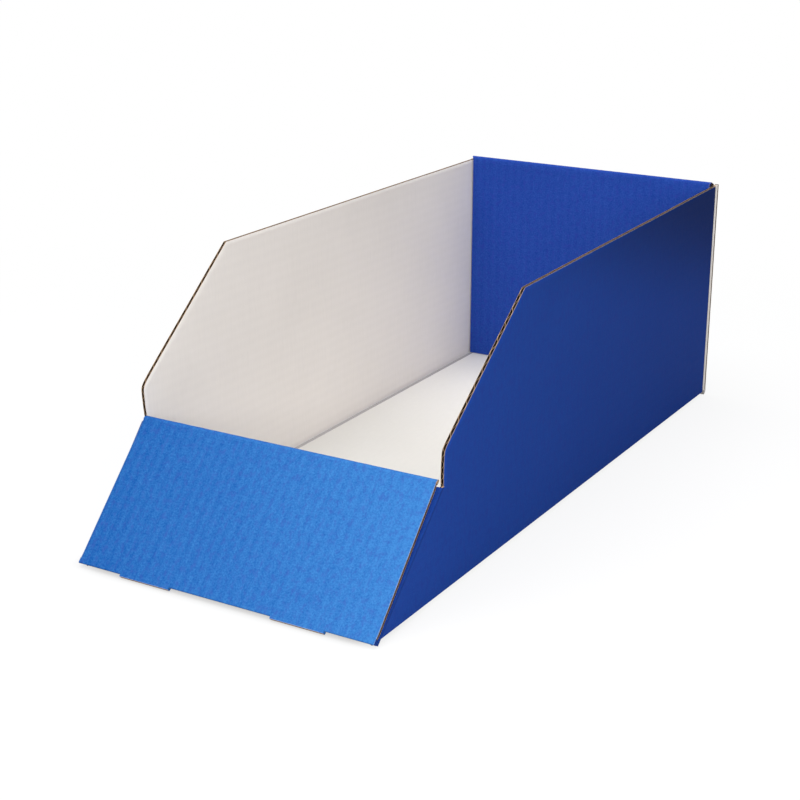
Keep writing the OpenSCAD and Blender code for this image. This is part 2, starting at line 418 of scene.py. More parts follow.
@dataclass(frozen=True)
class WhitePaper:
    """Plain white paper, a little grey and warm, with the flutes faintly showing through."""

    name: str
    tone: Colour = (0.86, 0.82, 0.775)
    fading: float = 0.93
    pitch: float = 6.5
    ribs: float = 0.04
    drawn: tuple[float, float] = (1.0, 0.35)
    dim: tuple[float, float, float] | None = None
    speck: Colour = (0.42, 0.34, 0.26)
    gloss: float = 0.2
    fibres: Grain = (0.5, 4.0, 0.65)
    cloud: Grain = (0.015, 3.0, 0.55)
    specks: Grain = (1.7, 2.0, 0.5)
    on_solid: bool = False

    def material(self) -> Material:
        """Make the paper's material.

        Returns:
            The material.
        """
        g = Graph(self.name)
        here = g.place_mm(self.on_solid)
        ribs = g.ribs(here, self.pitch)
        fibres = g.noise(g.stretched(here, *self.drawn), self.fibres)
        cloud = g.noise(here, self.cloud)
        share = g.summed((fibres, 0.5), (cloud, 0.5), (ribs, self.ribs))
        share = g.math("ADD", share, 0.3, clamp=True)
        shade = tuple(self.fading * c for c in self.tone)
        colour = g.mix(share, (*self.tone, 1), (*shade, 1))
        # Painted shade: the paper darkens along Y, from nothing at the first given depth to the
        # given share at the second and beyond.
        if self.dim:
            back, front, amount = self.dim
            along = g.add("SeparateXYZ", {0: here}).outputs["Y"]
            soft = g.math("MULTIPLY", g.band(along, back, front), amount)
            colour = g.mix(soft, colour, (0, 0, 0, 1))
        specks = g.band(g.noise(here, self.specks), 0.71, 0.80)
        colour = g.mix(g.math("MULTIPLY", specks, 0.15), colour, (*self.speck, 1))
        g.matt(colour, g.math("MULTIPLY_ADD", fibres, 0.15, 0.72), self.gloss)
        height = g.math("MULTIPLY_ADD", ribs, 2 * self.ribs, g.math("MULTIPLY", fibres, 0.3))
        g.bump(height, 0.3, 0.10)
        return g.material


@dataclass(frozen=True)
class KraftPaper:
    """Unbleached brown paper with long pale and dark fibres, and painted shade deep in the flutes'
    cells.
    """

    name: str = "kraft_paper"
    tone: Colour = (0.17, 0.10, 0.05)
    dark: Colour = (0.08, 0.045, 0.02)
    pale: Colour = (0.28, 0.18, 0.10)
    shade: float = 0.0
    hollow: Colour = (0.010, 0.005, 0.002)
    fibres: Grain = (1.6, 5.0, 0.7)
    patches: Grain = (0.12, 3.0, 0.55)
    on_solid: bool = False

    def material(self) -> Material:
        """Make the paper's material.

        Returns:
            The material.
        """
        g = Graph(self.name)
        here = g.place_mm(self.on_solid)
        fibres = g.noise(g.stretched(here, 1.0, 0.25), self.fibres)
        patches = g.noise(here, self.patches)
        colour = g.mix(g.band(patches, 0.3, 0.7), (*self.dark, 1), (*self.tone, 1))
        colour = g.mix(0.65, colour, (*self.tone, 1))
        colour = g.mix(g.band(fibres, 0.52, 0.75), colour, (*self.pale, 1))
        thin = g.math("MULTIPLY", g.band(fibres, 0.42, 0.25), 0.6)
        colour = g.mix(thin, colour, (*self.dark, 1))
        # Painted shade in the flutes' cells: away from a cut edge the kraft darkens to near black.
        if self.shade:
            distance = g.add("Attribute", attribute_name="rim").outputs["Fac"]
            deep = g.math("MULTIPLY", g.band(distance, 0.0, 0.6), self.shade)
            colour = g.mix(deep, colour, (*self.hollow, 1))
        g.matt(colour, 0.85, 0.15)
        g.bump(fibres, 0.5, 0.08)
        return g.material


@dataclass(frozen=True)
class CrushedFold:
    """Board crushed along a fold, where the surface cracks in lines along it."""

    name: str
    face: Colour
    crack: Colour
    cracks: float = 0.35
    lines: Grain = (1.4, 4.0, 0.65)
    mottle: Grain = (0.5, 3.0, 0.6)

    def material(self) -> Material:
        """Make the fold's material.

        Returns:
            The material.
        """
        g = Graph(self.name)
        here = g.place_mm()
        lines = g.noise(g.stretched(here, 1.0, 0.06), self.lines)
        mottle = g.noise(here, self.mottle)
        deep = tuple(0.72 * c for c in self.face)
        colour = g.mix(mottle, (*deep, 1), (*self.face, 1))
        split = g.math("MULTIPLY", g.band(lines, 0.58, 0.70), self.cracks)
        colour = g.mix(split, colour, (*self.crack, 1))
        g.matt(colour, 0.68, 0.22)
        g.bump(g.math("MULTIPLY_ADD", mottle, 0.4, lines), 0.6, 0.15)
        return g.material


class Finishes:
    """Every finish of the bin, made once."""

    def __init__(self) -> None:
        """Make the materials."""
        ramp, wall, back = RAMP_LIT_INK, WALL_SHADED_INK, BACK_SHADED_INK
        # The ramp's mottle, and painted light that makes its print lighter towards its right and
        # its top.
        mottle_and_painted_light = {"mottle": 1.3, "drift": (0.0029, 0.0006)}
        upright = (0.4, 1.0)
        self.ramp_print = PrintedPaper("blue_print_ramp", ramp, **mottle_and_painted_light).material()
        self.foot_print = PrintedPaper("blue_print_foot", ramp, bare_below=2.35, **mottle_and_painted_light).material()
        # The wall's print has painted light, lighter towards the front, and painted shade, darker
        # towards the top at the back.
        self.wall_print = PrintedPaper(
            "blue_print_wall", wall, mottle=0.8, ribs=0.05, drawn=upright,
            drift=(0.0, -0.0012), dusk=(0.0114, 0.0033, 1.4),
        ).material()
        self.back_print = PrintedPaper("blue_print_back", back, mottle=1.4, ribs=0.12).material()
        self.base_print = PrintedPaper("blue_print_base").material()
        self.solid_print = PrintedPaper("blue_print_tabs", on_solid=True).material()
        # Painted shade: the wall's ink made darker for the groove behind the ramp's edges and the
        # rims of the ramp's foot.
        deep = Ink(*(tuple(0.80 * c for c in tone) for tone in (wall.full, wall.thin, wall.violet)))
        self.groove_print = PrintedPaper("blue_print_groove", deep, wear=0.0).material()
        # The wall's lining and the bin's floor carry a little painted shade along Y.
        self.wall_white = WhitePaper(
            "white_paper_wall", (0.940, 0.890, 0.842), fading=0.85, ribs=0.06, drawn=(0.12, 1.2),
            dim=(200.0, 80.0, 0.045),
        ).material()
        self.base_white = WhitePaper(
            "white_paper_base", (0.935, 0.912, 0.862), fading=0.90, dim=(190.0, -20.0, 0.22)
        ).material()
        self.solid_white = WhitePaper("white_paper_tabs", on_solid=True).material()
        # The kraft of the flutes and of the papers' backs, with painted shade in the cells.
        self.kraft = KraftPaper(shade=0.9).material()
        self.solid_kraft = KraftPaper("kraft_tabs", on_solid=True).material()
        self.raw_edge = KraftPaper(
            "raw_edge", (0.52, 0.35, 0.21), (0.32, 0.20, 0.11), (0.68, 0.53, 0.39)
        ).material()
        white = (0.74, 0.71, 0.67)
        self.wall_fold = CrushedFold("blue_fold_wall", wall.full, white, 0.05).material()
        # Painted shade: the top of the back and its crown are a dark copy of the back's ink.
        crest = tuple(0.35 * c for c in back.full)
        self.back_fold = CrushedFold("blue_fold_back", crest, white, 0.06).material()
        self.white_fold = CrushedFold("bare_fold", white, (0.46, 0.40, 0.34), 0.5).material()
        # Painted shade: the inside of every crease is a grey, darker than the white paper, for the
        # shade in the fold.
        self.deep_crease = CrushedFold(
            "deep_crease", (0.50, 0.47, 0.465), (0.36, 0.33, 0.325), 0.5
        ).material()


# Sizes


def corner_of(node: str, towards: Spot) -> Vector:
    """Find a node's outermost point.

    Args:
        node: The frame's node.
        towards: The direction.

    Returns:
        The point, in millimetres.
    """
    way = Vector(towards)
    points = (v.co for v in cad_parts[node].data.vertices)
    return max(points, key=lambda p: p.dot(way)) / MM


def box_of(node: str) -> tuple[Vector, Vector]:
    """A node's lowest and highest corners, in millimetres."""
    low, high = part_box(node)
    return low / MM, high / MM


@dataclass(frozen=True)
class BinSizes:
    """The bin's sizes, read from the frame, and the few that no node shows."""

    half_w: float
    in_w: float
    height: float
    front_y: float
    back_y: float
    tab_face_y: float
    board_t: float
    paper_t: float
    splay: float
    top_end_y: float
    ramp_angle: float
    ramp_foot: float
    ramp_end: float
    fold_depth: float
    sandwich: float
    front_liner_w: float
    roll_w: float
    roll_y: float
    roll_z: float
    crown_y: float
    crown_z: float
    liner_foot: float
    base_front_y: float
    base_back_y: float
    low_end_y: float = 68.1
    low_end_h: float = 87.6
    low_end_lean: float = -0.08
    bend_soft: float = 3.0
    bow_out: float = 0.35
    bow_calm: float = 60.0
    layer_gap: float = 0.3
    fold_play: float = 0.2
    flute_pitch: float = 6.5
    flute_first: float = 1 / 16
    flute_crest: float = 1.25
    flute_t: float = 0.30
    glue_t: float = 0.08
    lock_x: float = 50.5
    lock_w: float = 35.0
    lock_play: float = 0.5
    ear_rise: float = 0.5
    notch_dip: float = 0.05
    lip_short: float = 0.6
    roll_flare: float = 0.9

    @classmethod
    def from_frame(cls) -> BinSizes:
        """Read the sizes.

        Returns:
            The sizes.
        """
        back_low, back_high = box_of("back_outside_paper")
        wall_low, wall_high = box_of("left_wall_outside_paper")
        base_low, base_high = box_of("base_inside_paper")
        crown_low, crown_high = box_of("back_crown")
        board_t = back_high.y - box_of("back_inside_paper")[0].y
        foot = corner_of("front_ramp_outside_paper", (0, -1, 0))
        top = corner_of("front_ramp_outside_paper", (0, 0, 1))
        angle = math.atan2(top.z - foot.z, top.y - foot.y)
        rise, run = math.sin(angle), math.cos(angle)
        ramp_foot = foot.z / rise
        front_y = foot.y - ramp_foot * run
        liner_top = corner_of("front_liner_outside_paper", (0, 1, 0))
        return cls(
            half_w=back_high.x,
            in_w=base_high.x,
            height=wall_high.z,
            front_y=front_y,
            back_y=back_high.y,
            tab_face_y=wall_high.y,
            board_t=board_t,
            paper_t=back_high.y - back_low.y,
            splay=-wall_low.x - back_high.x,
            top_end_y=corner_of("left_wall_outside_paper", (-1, 0, 0)).y - front_y,
            ramp_angle=angle,
            ramp_foot=ramp_foot,
            ramp_end=top.z / rise,
            fold_depth=(wall_low.y - front_y) * rise - board_t * run,
            sandwich=(liner_top.y - front_y) * rise - liner_top.z * run,
            front_liner_w=abs(liner_top.x),
            roll_w=crown_high.x,
            roll_y=crown_low.y + board_t / 2,
            roll_z=crown_high.z - board_t / 2,
            crown_y=back_high.y - board_t / 2,
            crown_z=wall_high.z - board_t / 2,
            liner_foot=box_of("back_liner_inside_paper")[0].z,
            base_front_y=base_low.y,
            base_back_y=base_high.y,
        )

    @property
    def crest_w(self) -> float:
        """The width of the rolled back's crest."""
        return 2 * (self.roll_w + self.roll_flare)

    @property
    def crown_lean(self) -> float:
        """The angle at which the crown rises towards the front."""
        return math.atan2(self.roll_z - self.crown_z, self.crown_y - self.roll_y)

    def on_ramp(self, along: float, depth: float) -> Point:
        """A place in the ramp, seen from the side.

        Args:
            along: The distance up the slope.
            depth: The distance in from the ramp's face.

        Returns:
            Its Y and Z.
        """
        run, rise = math.cos(self.ramp_angle), math.sin(self.ramp_angle)
        return self.front_y + along * run + depth * rise, along * rise - depth * run

    @property
    def notch_z(self) -> float:
        """The height where the low end of a wall's edge meets the tab's fold."""
        lean = self.low_end_lean
        reach = self.low_end_y - self.low_end_h * lean - self.fold_depth / math.sin(self.ramp_angle)
        return reach / (1 / math.tan(self.ramp_angle) - lean) - self.notch_dip

    @property
    def swing(self) -> float:
        """How far the fluted paper swings to each side of the board's middle."""
        return (self.board_t - 2 * self.paper_t - self.flute_t) / 2

    def wave(self, u: float) -> float:
        """The flutes' shape, from -1 to 1, with flat crests.

        Args:
            u: The distance across the flutes from the panel's first edge.

        Returns:
            The height of the wave there.
        """
        turns = u / self.flute_pitch + self.flute_first
        return max(-1.0, min(1.0, self.flute_crest * math.sin(math.tau * turns)))

    def wall_edge(self, z: float) -> float:
        """The front edge of a side wall.

        Args:
            z: The height.

        Returns:
            The edge's Y there.
        """
        fold = self.front_y + z / math.tan(self.ramp_angle)
        fold += self.fold_depth / math.sin(self.ramp_angle)
        low = self.front_y + self.low_end_y + (z - self.low_end_h) * self.low_end_lean
        run = (self.top_end_y - self.low_end_y) / (self.height - self.low_end_h)
        slope = self.front_y + self.low_end_y + (z - self.low_end_h) * run
        if z < self.low_end_h - 4 * self.bend_soft:
            return min(fold, low)
        return (low + slope + math.hypot(low - slope, self.bend_soft)) / 2

    def bow(self, y: float, z: float) -> float:
        """How far a side wall stands out.

        Args:
            y: The depth in the bin.
            z: The height.

        Returns:
            The distance outwards from the base's edge.
        """
        up = (z - self.board_t) / (self.height - self.board_t)
        free = self.tab_face_y - self.front_y - self.top_end_y
        out = self.splay * up * (self.tab_face_y - y) / free
        calm = min(1.0, max(0.0, (self.tab_face_y - y) / self.bow_calm)) * up
        return out + self.bow_out * calm * noise.noise(Vector((y / 90, z / 60, 3.1)))


# Sheets


@dataclass
class Outline:
    """The outline of a flat panel, and what the board does along each of its sides."""

    corners: list[Point]
    rims: list[Rim]
    holes: list[tuple[float, float, float, float]] = field(default_factory=list)

    def __post_init__(self) -> None:
        """Pair the corners into sides."""
        ends = self.corners[1:] + self.corners[:1]
        self.sides = list(zip(self.corners, ends, self.rims))

    def contains(self, u: float, v: float) -> bool:
        """Whether a point is on the panel.

        Args:
            u: Across the flutes.
            v: Along them.

        Returns:
            True where there is board.
        """
        inside = False
        for (ua, va), (ub, vb), _ in self.sides:
            if (va > v) != (vb > v) and u < ua + (ub - ua) * (v - va) / (vb - va):
                inside = not inside
        return inside and not any(a < u < b and c < v < d for a, b, c, d in self.holes)

    @staticmethod
    def gap(u: float, v: float, a: Point, b: Point) -> float:
        """The distance from a point to a side.

        Args:
            u: Across the flutes.
            v: Along them.
            a: The side's start.
            b: The side's end.

        Returns:
            The distance.
        """
        du, dv = b[0] - a[0], b[1] - a[1]
        share = ((u - a[0]) * du + (v - a[1]) * dv) / (du * du + dv * dv)
        share = max(0.0, min(1.0, share))
        return math.hypot(u - a[0] - share * du, v - a[1] - share * dv)

    def distance(self, u: float, v: float, rim: Rim | None = None) -> float:
        """The distance to the nearest side.

        Args:
            u: Across the flutes.
            v: Along them.
            rim: The kind of side that counts, or any.

        Returns:
            The distance, or a large number where there is no such side.
        """
        gaps = [self.gap(u, v, a, b) for a, b, kind in self.sides if rim in (None, kind)]
        return min(gaps, default=1000.0)

    def trim(self, bm: Mesh, near: float, insets: tuple[float, ...]) -> None:
        """Cut a grid to the outline, with a few extra lines close to each side.

        Args:
            bm: The grid.
            near: How far from a side faces are cut.
            insets: The distances of the extra lines from the side.
        """
        for a, b, _ in self.sides:
            along = Vector((b[0] - a[0], b[1] - a[1], 0)).normalized()
            across = Vector((-along.y, along.x, 0))
            inside = Vector(a).lerp(Vector(b), 0.5) + 0.05 * across.to_2d()
            if not self.contains(*inside):
                across.negate()
            for inset in (0.0, *insets):
                middles = ((f, f.calc_center_median()) for f in bm.faces)
                faces = [f for f, c in middles if self.gap(c.x, c.y, a, b) < near]
                edges = {e for f in faces for e in f.edges}
                verts = {v for f in faces for v in f.verts}
                bmesh.ops.bisect_plane(
                    bm, geom=[*verts, *edges, *faces], dist=1e-4,
                    plane_co=Vector((*a, 0)) + inset * across, plane_no=across,
                )
        for low_u, high_u, low_v, high_v in self.holes:
            for point, way in (
                ((low_u, 0, 0), (1, 0, 0)),
                ((high_u, 0, 0), (1, 0, 0)),
                ((0, low_v, 0), (0, 1, 0)),
                ((0, high_v, 0), (0, 1, 0)),
            ):
                geom = [*bm.verts, *bm.edges, *bm.faces]
                bmesh.ops.bisect_plane(bm, geom=geom, dist=1e-4, plane_co=point, plane_no=way)
        centres = {f: f.calc_center_median() for f in bm.faces}
        waste = [f for f, c in centres.items() if not self.contains(c.x, c.y)]
        bmesh.ops.delete(bm, geom=waste, context="FACES")
        many = [f for f in bm.faces if len(f.verts) > 4]
        bmesh.ops.triangulate(bm, faces=many)


# A fold's sheet is trimmed by its own grid, with no extra lines along its sides.
PLAIN_SIDES = {"near": 0.0, "insets": ()}


@dataclass
class Sheet:
    """One sheet, cut out flat, given its thickness and then put in place."""

    name: str
    body: str
    nodes: tuple[str, ...]
    slot: str
    outline: Outline
    steps: tuple[int, int]
    place: Place
    looks: tuple[Material, Material, Material]
    near: float = 14.0
    insets: tuple[float, ...] = (0.5, 1.4, 3.0)
    folded: int = 0
    drawn_on: Drawing | None = None

    def build(self) -> Piece:
        """Make the sheet's mesh and its object.

        Returns:
            The object, which rides on its body and stands for its nodes.
        """
        us = [c[0] for c in self.outline.corners]
        vs = [c[1] for c in self.outline.corners]
        middle = Vector(((min(us) + max(us)) / 2, (min(vs) + max(vs)) / 2, 0))
        bm = bmesh.new()
        bmesh.ops.create_grid(bm, x_segments=self.steps[0], y_segments=self.steps[1], size=0.5)
        stretch = Vector((max(us) - min(us), max(vs) - min(vs), 1))
        bmesh.ops.scale(bm, vec=stretch, verts=bm.verts)
        bmesh.ops.translate(bm, vec=middle, verts=bm.verts)
        self.outline.trim(bm, self.near, self.insets)
        bmesh.ops.solidify(bm, geom=bm.faces[:], thickness=1.0)
        bm.normal_update()
        self._paint(bm)
        rim = bm.verts.layers.float.new("rim")
        top = max(v.co.z for v in bm.verts)
        for vert in bm.verts:
            u, v, d = vert.co.x, vert.co.y, top - vert.co.z
            vert[rim] = self.outline.distance(u, v, Rim.CUT)
            vert.co = self.place(u, v, d) * MM
        bmesh.ops.recalc_face_normals(bm, faces=bm.faces)
        return finished(bm, self.name, self.body, self.nodes, self.slot, self.looks)

    def _paint(self, bm: Mesh) -> None:
        """Give each face its paper and its place on the sheet.

        Args:
            bm: The solid sheet, still flat, with its outside up.
        """
        uv = bm.loops.layers.uv.new("sheet")
        rims = set()
        for face in bm.faces:
            up = face.normal.z
            face.material_index = 0 if up > 0.5 else 1 if up < -0.5 else 2
            middle = face.calc_center_median()
            if face.material_index == 2:
                rims.add(face)
                if self.outline.distance(middle.x, middle.y, Rim.FOLD) < 0.01:
                    face.material_index = self.folded
            face.smooth = face not in rims
            for loop in face.loops:
                at = (loop.vert.co.x, loop.vert.co.y)
                u, v = self.drawn_on(*at) if self.drawn_on else at
                loop[uv].uv = (u * MM, v * MM)
                if face in rims:
                    loop[uv].uv.x += loop.vert.co.z * MM
        for edge in bm.edges:
            edge.smooth = len({f.material_index for f in edge.link_faces if f not in rims}) == 1
            edge.smooth = edge.smooth and not any(f in rims for f in edge.link_faces)


def finished(
    bm: Mesh,
    name: str,
    body: str,
    nodes: tuple[str, ...],
    slot: str,
    looks: tuple[Material, ...],
) -> Piece:
    """Turn a mesh in place into a piece of the bin.

    Args:
        bm: The mesh, which is used up.
        name: The piece's name.
        body: The body that it rides on.
        nodes: The frame's nodes that it stands for.
        slot: The record's material slot; not used.
        looks: Its materials.

    Returns:
        The piece.
    """
    mesh = bpy.data.meshes.new(name)
    bm.to_mesh(mesh)
    bm.free()
    for look in looks:
        mesh.materials.append(look)
    piece = bpy.data.objects.new(name, mesh)
    bpy.context.scene.collection.objects.link(piece)
    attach(piece, body)
    if nodes:
        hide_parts(*nodes)
    LOG.info("%s: %d faces on %s", name, len(mesh.polygons), body)
    return piece


# Panels


@dataclass
class Panel:
    """A flat panel of fluted board, made of its three papers."""

    sizes: BinSizes
    looks: Finishes
    side: Side = Side.LEFT
    prefix: str = ""
    body: str = "bin"
    start: float = 0.0
    facing: int = 1
    sag: float = 0.07
    cut_press: float = 0.12
    cut_reach: float = 1.1
    fold_press: float = 0.35
    fold_reach: float = 2.0
    columns: int = 12
    rows: int = 24

    def outline(self, layer: Layer) -> Outline:
        """The panel's outline, which a layer may end a little short of."""
        raise NotImplementedError

    def place(self, u: float, v: float, w: float) -> Vector:
        """Where a point of the panel is, from its place on it and its depth in the board."""
        raise NotImplementedError

    def print_look(self) -> Material:
        """The print on the panel's outside."""
        return self.looks.base_print

    def white_look(self) -> Material:
        """The white of the panel's inside."""
        return self.looks.wall_white

    def rim_look(self) -> Material:
        """The cut edge of the panel's printed paper."""
        return self.looks.raw_edge

    def depth(self, layer: Layer, u: float, d: float) -> float:
        """How deep a point of a layer lies in flat board.

        Args:
            layer: The layer.
            u: The place across the flutes.
            d: 0 on the layer's outer face, 1 on its inner face.

        Returns:
            The depth below the outside.
        """
        s = self.sizes
        wave = self.facing * s.wave(u - self.start)
        if layer is Layer.FLUTES:
            return s.board_t / 2 - (s.swing - s.glue_t) * wave + (d - 0.5) * s.flute_t
        if layer is Layer.OUTSIDE:
            return d * s.paper_t + self.sag * (1 - wave) / 2
        return s.board_t - (1 - d) * s.paper_t - self.sag * (1 + wave) / 2

    def pressed(self, outline: Outline, u: float, v: float, w: float) -> float:
        """The depth after the cutting and creasing have pressed the board.

        Args:
            outline: The panel's outline.
            u: Across the flutes.
            v: Along them.
            w: The depth in flat board.

        Returns:
            The depth in pressed board.
        """
        from_cut = outline.distance(u, v, Rim.CUT) / self.cut_reach
        from_fold = outline.distance(u, v, Rim.FOLD) / self.fold_reach
        cut = math.exp(-(from_cut**2)) * self.cut_press
        fold = math.exp(-(from_fold**2)) * self.fold_press
        middle = self.sizes.board_t / 2
        return (middle + (w - middle) * (1 - cut)) * (1 - fold)

    def placer(self, layer: Layer, outline: Outline) -> Place:
        """How one of the panel's papers is put in place.

        Args:
            layer: The layer.
            outline: The layer's outline.

        Returns:
            The function from a point of the flat sheet to its place.
        """

        def put(u: float, v: float, d: float) -> Vector:
            """Press the point and place it."""
            return self.place(u, v, self.pressed(outline, u, v, self.depth(layer, u, d)))

        return put

    def build(self) -> list[Piece]:
        """Make the panel's three papers.

        Returns:
            The pieces.
        """
        kraft, raw = self.looks.kraft, self.looks.raw_edge
        printed = (self.print_look(), kraft, self.rim_look())
        parts = (
            (Layer.OUTSIDE, "print", "printed_paper", printed, 0),
            (Layer.FLUTES, "core", "kraft_flutes", (kraft, kraft, raw), 1),
            (Layer.INSIDE, "lining", "white_paper", (kraft, self.white_look(), raw), 1),
        )
        pieces = []
        for layer, word, slot, looks, folded in parts:
            columns = self.columns if layer is Layer.FLUTES else 8
            outline = self.outline(layer)
            width = max(c[0] for c in outline.corners) - min(c[0] for c in outline.corners)
            steps = (round(width / self.sizes.flute_pitch * columns), self.rows)
            sheet = Sheet(
                f"{self.prefix}_{word}", self.body, (f"{self.prefix}_{layer.value}",), slot,
                outline, steps, self.placer(layer, outline), looks, folded=folded,
            )
            pieces.append(sheet.build())
        return pieces


def rectangle(u0: float, u1: float, v0: float, v1: float, rims: str) -> Outline:
    """A rectangular outline.

    Args:
        u0: Its start across the flutes.
        u1: Its end across them.
        v0: Its start along them.
        v1: Its end along them.
        rims: One letter a side, c for cut and f for fold, from the v0 side on, by u1, v1 and u0.

    Returns:
        The outline.
    """
    kinds = {"c": Rim.CUT, "f": Rim.FOLD}
    return Outline([(u0, v0), (u1, v0), (u1, v1), (u0, v1)], [kinds[r] for r in rims])


@dataclass
class Base(Panel):
    """The bottom of the bin, with slots for the lock tabs."""

    prefix: str = "base"
    fold_press: float = 0.05

    def __post_init__(self) -> None:
        """Start the flutes at the left fold."""
        self.start = -self.sizes.in_w

    def white_look(self) -> Material:
        """The white of the bin's floor."""
        return self.looks.base_white

    def outline(self, layer: Layer) -> Outline:
        """A rectangle between the folds, less the slots.

        Args:
            layer: The layer.

        Returns:
            The outline.
        """
        s = self.sizes
        made = rectangle(-s.in_w, s.in_w, s.base_front_y, s.base_back_y, "ffff")
        half = s.lock_w / 2 + s.lock_play
        front = s.sandwich / math.sin(s.ramp_angle) + s.board_t / math.tan(s.ramp_angle)
        face = s.back_y - s.sandwich
        for middle in (-s.lock_x, s.lock_x):
            made.holes += [
                (middle - half, middle + half, s.front_y, s.front_y + front + s.lock_play),
                (middle - half, middle + half, face - s.lock_play, face + s.board_t + s.lock_play),
            ]
        return made

    def place(self, u: float, v: float, w: float) -> Vector:
        """The outside lies on the table."""
        return Vector((u, v, w))


@dataclass
class SideWall(Panel):
    """A side wall, cut away to the front, which stands out a little towards its free end."""

    facing: int = -1
    sag: float = 0.03
    cut_press: float = 0.38
    fold_press: float = 0.03

    def __post_init__(self) -> None:
        """Name the wall and start its flutes at the base."""
        self.prefix = f"{self.side.word}_wall"
        self.start = self.sizes.board_t

    def print_look(self) -> Material:
        """The print on the wall."""
        return self.looks.wall_print

    def outline(self, layer: Layer) -> Outline:
        """The base, the back, the top, the slope, the low end and the tab's fold.

        Args:
            layer: The layer.

        Returns:
            The outline.
        """
        s = self.sizes
        low = self.start
        corners = [(low, s.wall_edge(low)), (low, s.tab_face_y), (s.height, s.tab_face_y)]
        rims = [Rim.FOLD, Rim.FOLD, Rim.CUT]
        round_bend = (4, 2, 1.1, 0.5, 0, -0.5, -1.1, -2, -4.1)
        heights = [s.height, *(s.low_end_h + k * s.bend_soft for k in round_bend)]
        corners += [(z, s.wall_edge(z)) for z in heights]
        rims += [Rim.CUT] * len(heights)
        notch = s.notch_z
        end = s.front_y + s.low_end_y + (notch - s.low_end_h) * s.low_end_lean
        corners += [(notch, end), (notch, s.wall_edge(notch))]
        rims += [Rim.CUT, Rim.FOLD]
        return Outline(corners, rims)

    def place(self, u: float, v: float, w: float) -> Vector:
        """Heights are across the flutes, which run from front to back."""
        s = self.sizes
        return Vector((self.side.value * (s.half_w - w + s.bow(v, u)), v, u))


@dataclass
class RampPanel(Panel):
    """A panel that lies along the front ramp."""

    outer: float = 0.0
    inwards: int = 1

    def place(self, u: float, v: float, w: float) -> Vector:
        """Lengths run up the slope, and the depth runs in from the ramp's face."""
        return Vector((u, *self.sizes.on_ramp(v, self.outer + self.inwards * w)))


@dataclass
class FrontRamp(RampPanel):
    """The outer layer of the front."""

    prefix: str = "front_ramp"
    cut_press: float = 0.35
    fold_press: float = 0.3

    def __post_init__(self) -> None:
        """Start the flutes at the left edge."""
        self.start = -self.sizes.half_w

    def print_look(self) -> Material:
        """The print on the ramp."""
        return self.looks.ramp_print

    def outline(self, layer: Layer) -> Outline:
        """A rectangle between the two folds."""
        s = self.sizes
        return rectangle(-s.half_w, s.half_w, s.ramp_foot, s.ramp_end, "fcfc")


@dataclass
class FrontLiner(RampPanel):
    """The inner layer of the front, printed side inwards."""

    prefix: str = "front_liner"

    def __post_init__(self) -> None:
        """Turn the board over and start its flutes at the left edge."""
        self.start = -self.sizes.front_liner_w
        self.outer = self.sizes.sandwich
        self.inwards = -1

    def outline(self, layer: Layer) -> Outline:
        """A rectangle from just above the base to the fold.

        Args:
            layer: The layer.

        Returns:
            The outline.
        """
        s = self.sizes
        foot = (s.liner_foot + s.sandwich * math.cos(s.ramp_angle)) / math.sin(s.ramp_angle)
        return rectangle(-s.front_liner_w, s.front_liner_w, foot, s.ramp_end, "ccfc")


@dataclass
class Back(Panel):
    """The outer layer of the back, with a small corner on each side of its fold."""

    prefix: str = "back"
    cut_press: float = 0.35

    def __post_init__(self) -> None:
        """Start the flutes at the right edge."""
        self.start = -self.sizes.half_w

    def print_look(self) -> Material:
        """The print on the back."""
        return self.looks.wall_print

    def outline(self, layer: Layer) -> Outline:
        """A rectangle whose top is cut down between its two corners.

        Args:
            layer: The layer.

        Returns:
            The outline.
        """
        s = self.sizes
        w, mid, top = s.half_w, s.roll_w + s.roll_flare + s.fold_play, s.height - s.board_t
        ear = s.height + s.ear_rise
        corners = [
            (-w, s.board_t), (w, s.board_t), (w, ear), (mid, ear),
            (mid, top), (-mid, top), (-mid, ear), (-w, ear),
        ]
        cut, fold = Rim.CUT, Rim.FOLD
        return Outline(corners, [fold, cut, cut, cut, fold, cut, cut, cut])

    def place(self, u: float, v: float, w: float) -> Vector:
        """The flutes run up, and the outside faces the back."""
        return Vector((-u, self.sizes.back_y - w, v))


@dataclass
class BackLiner(Panel):
    """The inner layer of the back, rolled over the top, printed side into the bin."""

    prefix: str = "back_liner"
    body: str = "back_liner"

    def __post_init__(self) -> None:
        """Start the flutes at the left edge."""
        self.start = -self.sizes.roll_w

    def print_look(self) -> Material:
        """The print inside the bin."""
        return self.looks.back_print

    def rim_look(self) -> Material:
        """The print goes on round the top of the paper."""
        return self.looks.back_print

    def outline(self, layer: Layer) -> Outline:
        """A rectangle from just above the base to the fold.

        Args:
            layer: The layer.

        Returns:
            The outline.
        """
        s = self.sizes
        top = box_of(f"back_liner_{layer.value}")[1].z
        if layer is Layer.OUTSIDE:
            top = s.roll_z + self.radius * (math.pi / 2 + s.crown_lean)
        return rectangle(-s.roll_w, s.roll_w, s.liner_foot, top, "ccfc")

    @property
    def radius(self) -> float:
        """The radius of the print about the line on which the liner turns."""
        return self.sizes.board_t / 2

    def place(self, u: float, v: float, w: float) -> Vector:
        """The flutes run up, the outside faces the front and goes on round the fold.

        Args:
            u: The place across the flutes.
            v: The place along them.
            w: The depth below the outside.

        Returns:
            The point in the bin.
        """
        s = self.sizes
        if v < s.roll_z:
            return Vector((u, s.back_y - s.sandwich + w, v))
        angle = (v - s.roll_z) / self.radius
        r = self.radius - w
        u *= 1 + s.roll_flare * min(1.0, angle) / s.roll_w
        return Vector((u, s.roll_y - r * math.cos(angle), s.roll_z + r * math.sin(angle)))


